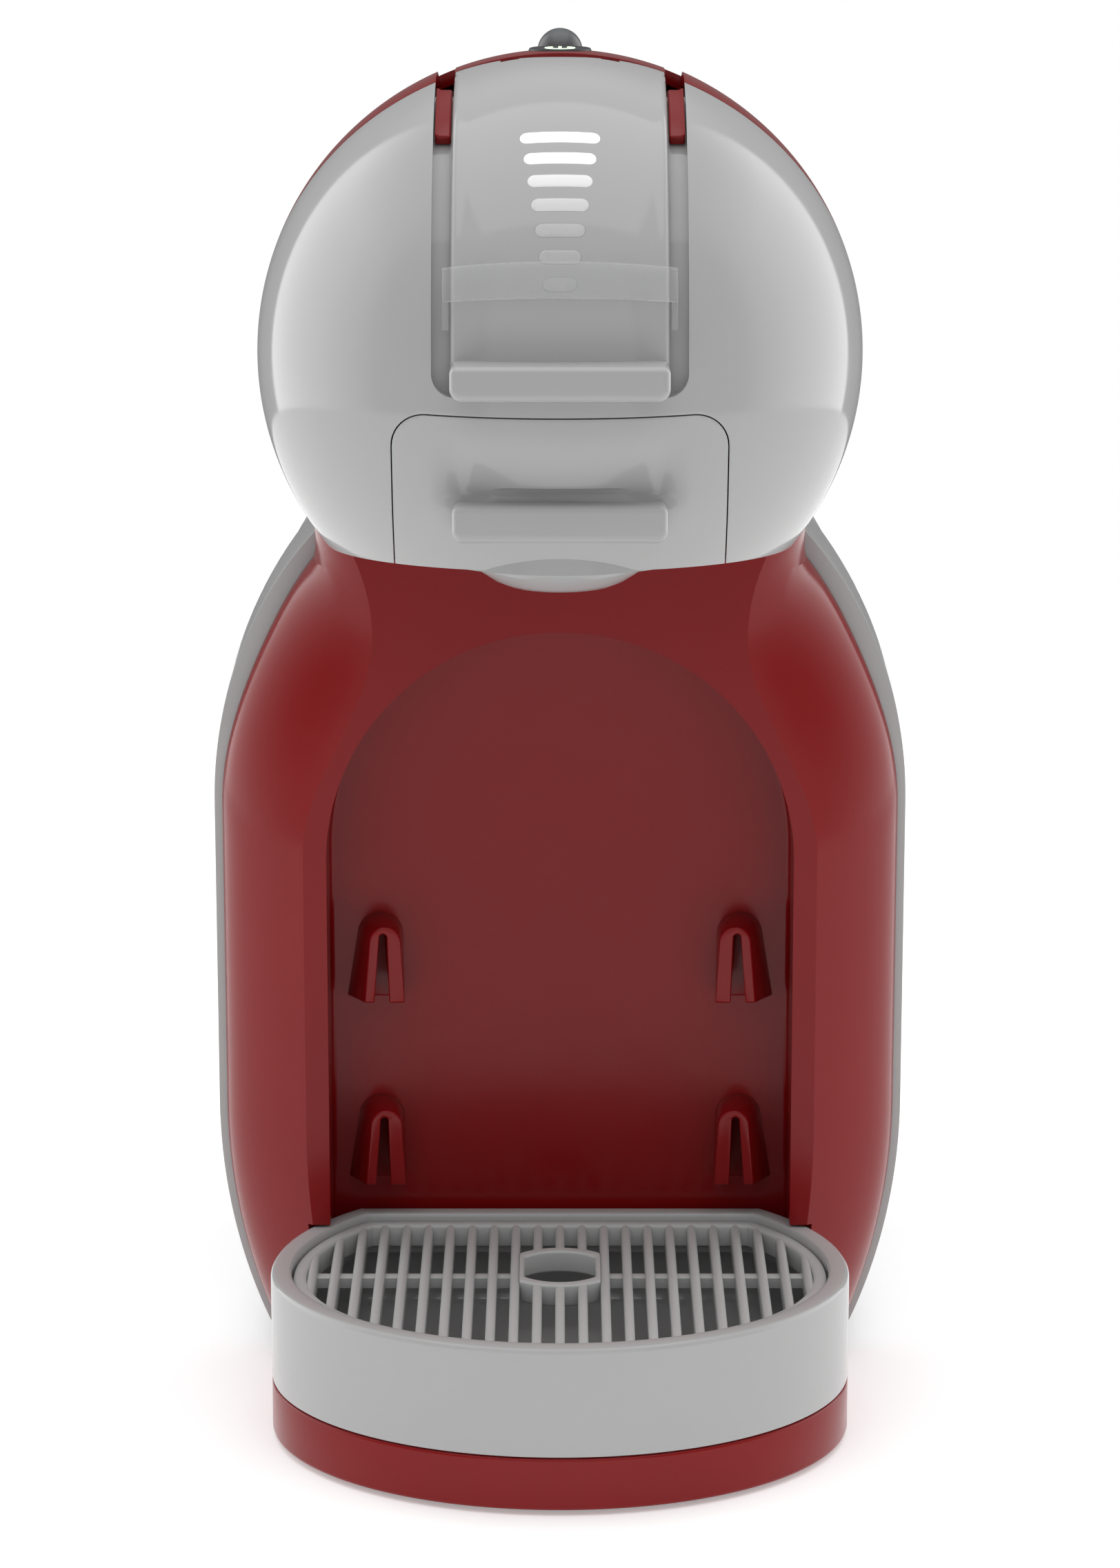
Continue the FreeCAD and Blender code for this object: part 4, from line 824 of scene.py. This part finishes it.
def noise(tree, coords, size_mm, detail=3.0, roughness=0.55):
    """Noise whose features are about this many millimetres across."""
    texture = tree.nodes.new("ShaderNodeTexNoise")
    texture.inputs["Scale"].default_value = 1000.0 / size_mm
    texture.inputs["Detail"].default_value = detail
    texture.inputs["Roughness"].default_value = roughness
    tree.links.new(coords, texture.inputs["Vector"])
    return texture.outputs["Fac"]


def spread(tree, value, low, high, source_low=0.3, source_high=0.7):
    remap = tree.nodes.new("ShaderNodeMapRange")
    remap.inputs["From Min"].default_value = source_low
    remap.inputs["From Max"].default_value = source_high
    remap.inputs["To Min"].default_value = low
    remap.inputs["To Max"].default_value = high
    tree.links.new(value, remap.inputs["Value"])
    return remap.outputs["Result"]


def ramp(tree, value, stops):
    colours = tree.nodes.new("ShaderNodeValToRGB")
    colours.color_ramp.elements[0].position = stops[0][0]
    colours.color_ramp.elements[0].color = (*stops[0][1], 1.0)
    colours.color_ramp.elements[1].position = stops[-1][0]
    colours.color_ramp.elements[1].color = (*stops[-1][1], 1.0)
    for position, colour in stops[1:-1]:
        colours.color_ramp.elements.new(position).color = (*colour, 1.0)
    tree.links.new(value, colours.inputs["Fac"])
    return colours.outputs["Color"]


def blended(tree, factor, first, second):
    mix = tree.nodes.new("ShaderNodeMix")
    mix.data_type = "RGBA"
    tree.links.new(factor, mix.inputs["Factor"])
    for value, socket in ((first, mix.inputs[6]), (second, mix.inputs[7])):
        tree.links.new(value, socket)
    return mix.outputs[2]


def tinted(colour, share):
    return tuple(min(1.0, max(0.0, part * share)) for part in colour)


def bumped(tree, shader, height, strength, distance_mm):
    bump = tree.nodes.new("ShaderNodeBump")
    bump.inputs["Strength"].default_value = strength
    bump.inputs["Distance"].default_value = distance_mm * MM
    tree.links.new(height, bump.inputs["Height"])
    tree.links.new(bump.outputs["Normal"], shader.inputs["Normal"])


def moulded(name, colour, roughness, grain_mm=0.35, grain=0.12, mottle=0.05, wear=0.25, specular=0.5, coat=0.0,
            metallic=0.0, rough_spread=0.05):
    """Moulded plastic, rubber or metal: grain, soft mottling, uneven gloss and light scuffs."""
    material, tree, shader = node_tree(name)
    coords = tree.nodes.new("ShaderNodeTexCoord").outputs["Object"]
    broad = noise(tree, coords, 38.0, 4.0)
    fine = noise(tree, coords, grain_mm, 2.0)
    body = ramp(tree, broad, [(0.3, tinted(colour, 1.0 - mottle)), (0.7, tinted(colour, 1.0 + mottle))])
    worn = tuple(part + (0.6 - part) * 0.35 for part in colour)
    rubbed = ramp(tree, broad, [(0.3, worn), (0.7, tinted(worn, 1.06))])
    scuffs = spread(tree, noise(tree, coords, 4.0, 9.0, 0.75), 0.0, wear, 0.62, 0.82)
    tree.links.new(blended(tree, scuffs, body, rubbed), shader.inputs["Base Color"])
    tree.links.new(spread(tree, noise(tree, coords, 9.0, 6.0), roughness - rough_spread, roughness + rough_spread),
                   shader.inputs["Roughness"])
    bumped(tree, shader, fine, grain, 0.05)
    shader.inputs["Metallic"].default_value = metallic
    shader.inputs["Specular IOR Level"].default_value = specular
    shader.inputs["Coat Weight"].default_value = coat
    shader.inputs["Coat Roughness"].default_value = 0.08
    return material


def clear(name, colour, roughness, ior=1.49, grain=0.02):
    """Clear moulded plastic with faint flow marks."""
    material, tree, shader = node_tree(name)
    coords = tree.nodes.new("ShaderNodeTexCoord").outputs["Object"]
    broad = noise(tree, coords, 30.0, 3.0)
    tree.links.new(ramp(tree, broad, [(0.3, tinted(colour, 0.97)), (0.7, colour)]), shader.inputs["Base Color"])
    gloss = spread(tree, noise(tree, coords, 12.0), roughness * 0.6, roughness * 1.5)
    tree.links.new(gloss, shader.inputs["Roughness"])
    bumped(tree, shader, noise(tree, coords, 6.0, 2.0), grain, 0.05)
    shader.inputs["Transmission Weight"].default_value = 1.0
    shader.inputs["IOR"].default_value = ior
    return material


def film(name, colour, share):
    """Thin clear plastic that shows mostly by its edges and highlights."""
    material, tree, shader = node_tree(name)
    coords = tree.nodes.new("ShaderNodeTexCoord").outputs["Object"]
    broad = noise(tree, coords, 24.0, 3.0)
    tree.links.new(ramp(tree, broad, [(0.3, tinted(colour, 0.96)), (0.7, colour)]), shader.inputs["Base Color"])
    tree.links.new(spread(tree, noise(tree, coords, 10.0), 0.04, 0.1), shader.inputs["Roughness"])
    facing = tree.nodes.new("ShaderNodeLayerWeight")
    facing.inputs["Blend"].default_value = 0.35
    tree.links.new(spread(tree, facing.outputs["Facing"], share, 0.85, 0.35, 0.95), shader.inputs["Alpha"])
    bumped(tree, shader, noise(tree, coords, 6.0, 2.0), 0.02, 0.05)
    return material


def lit_windows(name):
    """The light column: bright at its top and fading towards the lip."""
    material, tree, shader = node_tree(name)
    coords = tree.nodes.new("ShaderNodeTexCoord").outputs["Object"]
    split = tree.nodes.new("ShaderNodeSeparateXYZ")
    tree.links.new(coords, split.inputs[0])
    low, high = 0.257, 0.289
    fade = spread(tree, split.outputs["Z"], 0.0, 1.0, low, high)
    glow = ramp(tree, fade, [(0.0, (0.46, 0.46, 0.46)), (0.35, (0.50, 0.50, 0.50)), (0.62, (0.60, 0.60, 0.60)),
                             (1.0, (0.95, 0.95, 0.95))])
    tree.links.new(glow, shader.inputs["Base Color"])
    tree.links.new(ramp(tree, fade, [(0.0, (0.0, 0.0, 0.0)), (0.4, (0.03, 0.03, 0.03)), (0.75, (0.30, 0.30, 0.30)),
                                     (1.0, (0.72, 0.72, 0.72))]), shader.inputs["Emission Color"])
    shader.inputs["Emission Strength"].default_value = 1.0
    tree.links.new(spread(tree, noise(tree, coords, 4.0), 0.24, 0.34), shader.inputs["Roughness"])
    bumped(tree, shader, noise(tree, coords, 0.5), 0.08, 0.05)
    return material


def wound(name, colour):
    """Enamelled copper wire laid in rings."""
    material = moulded(name, colour, 0.34, metallic=1.0, mottle=0.1)
    tree = material.node_tree
    shader = tree.nodes["Principled BSDF"]
    coords = tree.nodes.new("ShaderNodeTexCoord").outputs["Object"]
    wave = tree.nodes.new("ShaderNodeTexWave")
    wave.bands_direction = "Z"
    wave.inputs["Scale"].default_value = 420.0
    wave.inputs["Distortion"].default_value = 0.6
    tree.links.new(coords, wave.inputs["Vector"])
    bumped(tree, shader, wave.outputs["Fac"], 0.7, 0.3)
    return material


def laminate(name, colour):
    """Circuit board: green lacquer over faint copper tracks."""
    material, tree, shader = node_tree(name)
    coords = tree.nodes.new("ShaderNodeTexCoord").outputs["Object"]
    cells = tree.nodes.new("ShaderNodeTexBrick")
    cells.inputs["Scale"].default_value = 90.0
    cells.inputs["Mortar Size"].default_value = 0.05
    cells.inputs["Color1"].default_value = (*colour, 1.0)
    cells.inputs["Color2"].default_value = (*tinted(colour, 0.85), 1.0)
    cells.inputs["Mortar"].default_value = (*tinted(colour, 1.7), 1.0)
    turn = tree.nodes.new("ShaderNodeMapping")
    turn.inputs["Rotation"].default_value = (math.pi / 2, 0.0, 0.0)
    tree.links.new(coords, turn.inputs["Vector"])
    tree.links.new(turn.outputs["Vector"], cells.inputs["Vector"])
    tree.links.new(cells.outputs["Color"], shader.inputs["Base Color"])
    tree.links.new(spread(tree, noise(tree, coords, 5.0), 0.25, 0.4), shader.inputs["Roughness"])
    bumped(tree, shader, cells.outputs["Fac"], 0.3, 0.08)
    return material


RED = (0.225, 0.005, 0.006)
GREY = (0.44, 0.44, 0.44)
finishes = {
    "red_gloss": moulded("red_gloss", RED, 0.2, mottle=0.03, grain=0.08, wear=0.012, specular=0.26,
                         rough_spread=0.03),
    "grey_gloss": moulded("grey_gloss", GREY, 0.09, mottle=0.012, grain=0.03, wear=0.15, rough_spread=0.02),
    "dark_plastic": moulded("dark_plastic", (0.03, 0.03, 0.032), 0.42, grain_mm=0.6, grain=0.3),
    "ball_grey": moulded("ball_grey", (0.10, 0.105, 0.11), 0.28, grain=0.1, mottle=0.05),
    "light_window": lit_windows("light_window"),
    "clear_plastic": film("clear_plastic", (0.86, 0.87, 0.87), 0.10),
    "smoke_clear": clear("smoke_clear", (0.62, 0.63, 0.64), 0.06),
    "rubber_black": moulded("rubber_black", (0.018, 0.018, 0.018), 0.7, grain_mm=0.8, grain=0.4, specular=0.3),
    "steel": moulded("steel", (0.55, 0.55, 0.56), 0.24, metallic=1.0, grain_mm=0.25, grain=0.15),
    "inner_plastic": moulded("inner_plastic", (0.16, 0.16, 0.16), 0.5, grain_mm=0.7, grain=0.3),
    "copper_coil": wound("copper_coil", (0.55, 0.24, 0.10)),
    "heater_metal": moulded("heater_metal", (0.5, 0.5, 0.51), 0.42, metallic=1.0, grain_mm=1.4, grain=0.5,
                            mottle=0.1),
    "board_green": laminate("board_green", (0.01, 0.09, 0.03)),
    "silicone_hose": moulded("silicone_hose", (0.62, 0.62, 0.60), 0.4, grain_mm=0.9, grain=0.15),
}
grille_grey = moulded("grille_grey", (0.48, 0.49, 0.485), 0.36, mottle=0.04, grain_mm=0.5, grain=0.22, wear=0.35)


def sign_light(name):
    material, tree, shader = node_tree(name)
    coords = tree.nodes.new("ShaderNodeTexCoord").outputs["Object"]
    glow = ramp(tree, noise(tree, coords, 2.0), [(0.3, (0.62, 0.95, 0.55)), (0.7, (0.82, 1.0, 0.74))])
    tree.links.new(glow, shader.inputs["Emission Color"])
    tree.links.new(glow, shader.inputs["Base Color"])
    shader.inputs["Emission Strength"].default_value = 1.6
    tree.links.new(spread(tree, noise(tree, coords, 3.0), 0.2, 0.3), shader.inputs["Roughness"])
    return material


# ---------------------------------------------------------------- assembly
def dress(piece, material):
    piece.data.materials.clear()
    piece.data.materials.append(material)


def place(piece, body, slot, replaced=(), material=None):
    dress(piece, material or finishes[slot])
    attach(piece, body)
    if replaced:
        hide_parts(*replaced)


place(make_front_shell(), "machine", "red_gloss", ["body_front_shell"])
place(make_bay_liner(), "machine", "red_gloss", ["bay_liner"])
place(make_rear_shell(), "machine", "grey_gloss", ["rear_shell"])
place(make_base_band(), "machine", "red_gloss", ["base_band"])
place(make_head_front(), "machine", "grey_gloss", ["head_front", "head_channel"])
place(make_bridge(), "machine", "red_gloss", ["head_bridge"])
place(make_head_collar(), "machine", "red_gloss", ["head_collar"])
place(make_tray(), "tray", "grey_gloss", ["drip_tray"])
place(make_grid(), "grid", "grey_gloss", ["drip_grid"], grille_grey)
place(make_drawer(), "drawer", "grey_gloss", ["capsule_drawer"])
place(make_handle(), "handle", "grey_gloss", ["handle_cover"])
place(make_bars(), "handle", "light_window", ["light_bars"])
place(make_slider(), "slider", "clear_plastic", ["volume_slider"])
place(make_selector(), "selector", "ball_grey", ["selector_lever"])
place(make_tank(), "tank", "smoke_clear", ["water_tank"])
place(make_lid(), "lid", "grey_gloss", ["tank_lid"])
button, button_centre, sign_level = make_button()
place(button, "button", "dark_plastic", ["power_button"])
place(make_power_sign(button_centre, sign_level), "button", "light_window", material=sign_light("sign_light"))

slots = {part["node"]: part["material_slot"] for part in frame["record"]["subparts"]}
for name, piece in frame["nodes"].items():
    dress(piece, finishes[slots[name]])
    if not piece.hide_render:
        edge = piece.modifiers.new("edge", "BEVEL")
        edge.width = 0.25 * MM
        edge.segments = 2
        edge.limit_method = "ANGLE"
        edge.angle_limit = math.radians(40.0)


# ---------------------------------------------------------------- floor, light and camera
def make_floor():
    """A round pale floor that ends in the white of the studio."""
    floor = piece_from("studio_floor", [(x, y, 0.0) for x, y in arc((0.0, 60.0), 900.0, 0, 357, 119)],
                       [tuple(range(120))])
    paper = moulded("studio_paper", (0.93, 0.93, 0.93), 0.85, grain_mm=2.0, grain=0.05, mottle=0.01, wear=0.0)
    shader = paper.node_tree.nodes["Principled BSDF"]
    shader.inputs["Emission Color"].default_value = (1.0, 1.0, 1.0, 1.0)
    shader.inputs["Emission Strength"].default_value = 0.3
    dress(floor, paper)


def make_world():
    """Studio surroundings: bright panels at both sides, a dim card in front, white where the camera looks past."""
    world = bpy.data.worlds.new("studio")
    bpy.context.scene.world = world
    world.use_nodes = True
    tree = world.node_tree
    background = tree.nodes["Background"]
    coords = tree.nodes.new("ShaderNodeTexCoord").outputs["Generated"]
    split = tree.nodes.new("ShaderNodeSeparateXYZ")
    tree.links.new(coords, split.inputs[0])

    def maths(operation, first, second=None):
        step = tree.nodes.new("ShaderNodeMath")
        step.operation = operation
        for value, socket in ((first, step.inputs[0]), (second, step.inputs[1])):
            if value is None:
                continue
            if isinstance(value, (int, float)):
                socket.default_value = value
            else:
                tree.links.new(value, socket)
        return step.outputs[0]

    across = maths("ABSOLUTE", split.outputs["X"])
    ahead = maths("MULTIPLY", split.outputs["Y"], -1.0)
    turn = maths("DIVIDE", maths("ARCTAN2", across, ahead), math.pi)

    def grey(share):
        return (share, share, share)

    around = ramp(tree, turn, [(0.0, grey(0.30)), (0.15, grey(0.30)), (0.165, grey(0.10)), (0.40, grey(0.12)),
                               (0.46, grey(0.50)), (0.56, grey(0.85)), (0.74, grey(1.0)), (0.775, grey(1.0)),
                               (0.785, grey(0.10)), (1.0, grey(0.10))])
    overhead = ramp(tree, split.outputs["Z"], [(0.0, grey(0.34)), (0.6, grey(0.34)), (1.0, grey(0.42))])
    climb = spread(tree, split.outputs["Z"], 0.0, 1.0, 0.5, 0.75)
    tree.links.new(blended(tree, climb, around, overhead), background.inputs["Color"])
    background.inputs["Strength"].default_value = 2.2
    white = tree.nodes.new("ShaderNodeBackground")
    white.inputs["Color"].default_value = (1.0, 1.0, 1.0, 1.0)
    white.inputs["Strength"].default_value = 1.0
    seen = tree.nodes.new("ShaderNodeLightPath").outputs["Is Camera Ray"]
    choose = tree.nodes.new("ShaderNodeMixShader")
    tree.links.new(seen, choose.inputs[0])
    tree.links.new(background.outputs[0], choose.inputs[1])
    tree.links.new(white.outputs[0], choose.inputs[2])
    tree.links.new(choose.outputs[0], tree.nodes["World Output"].inputs["Surface"])


def softbox(name, location, target, width, height, power):
    light = bpy.data.lights.new(name, "AREA")
    light.shape = "RECTANGLE"
    light.size, light.size_y, light.energy = width, height, power
    lamp = bpy.data.objects.new(name, light)
    bpy.context.scene.collection.objects.link(lamp)
    lamp.location = location
    lamp.rotation_euler = (Vector(target) - Vector(location)).to_track_quat("-Z", "Y").to_euler()


def make_camera():
    view = bpy.data.cameras.new("camera")
    view.sensor_width = 36.0
    view.sensor_fit = "AUTO"
    view.lens = 104.5
    view.clip_start, view.clip_end = 0.01, 30.0
    camera = bpy.data.objects.new("camera", view)
    bpy.context.scene.collection.objects.link(camera)
    camera.location = (0.0, -1.0252, 0.3702)
    camera.rotation_euler = (math.radians(90.0 - 13.1), 0.0, 0.0)
    bpy.context.scene.camera = camera


make_floor()
make_world()
softbox("top_softbox", (0.0, -0.15, 1.4), (0, 0, 0.1), 1.3, 1.3, 5.0)
make_camera()
bpy.context.scene.view_settings.view_transform = "Standard"
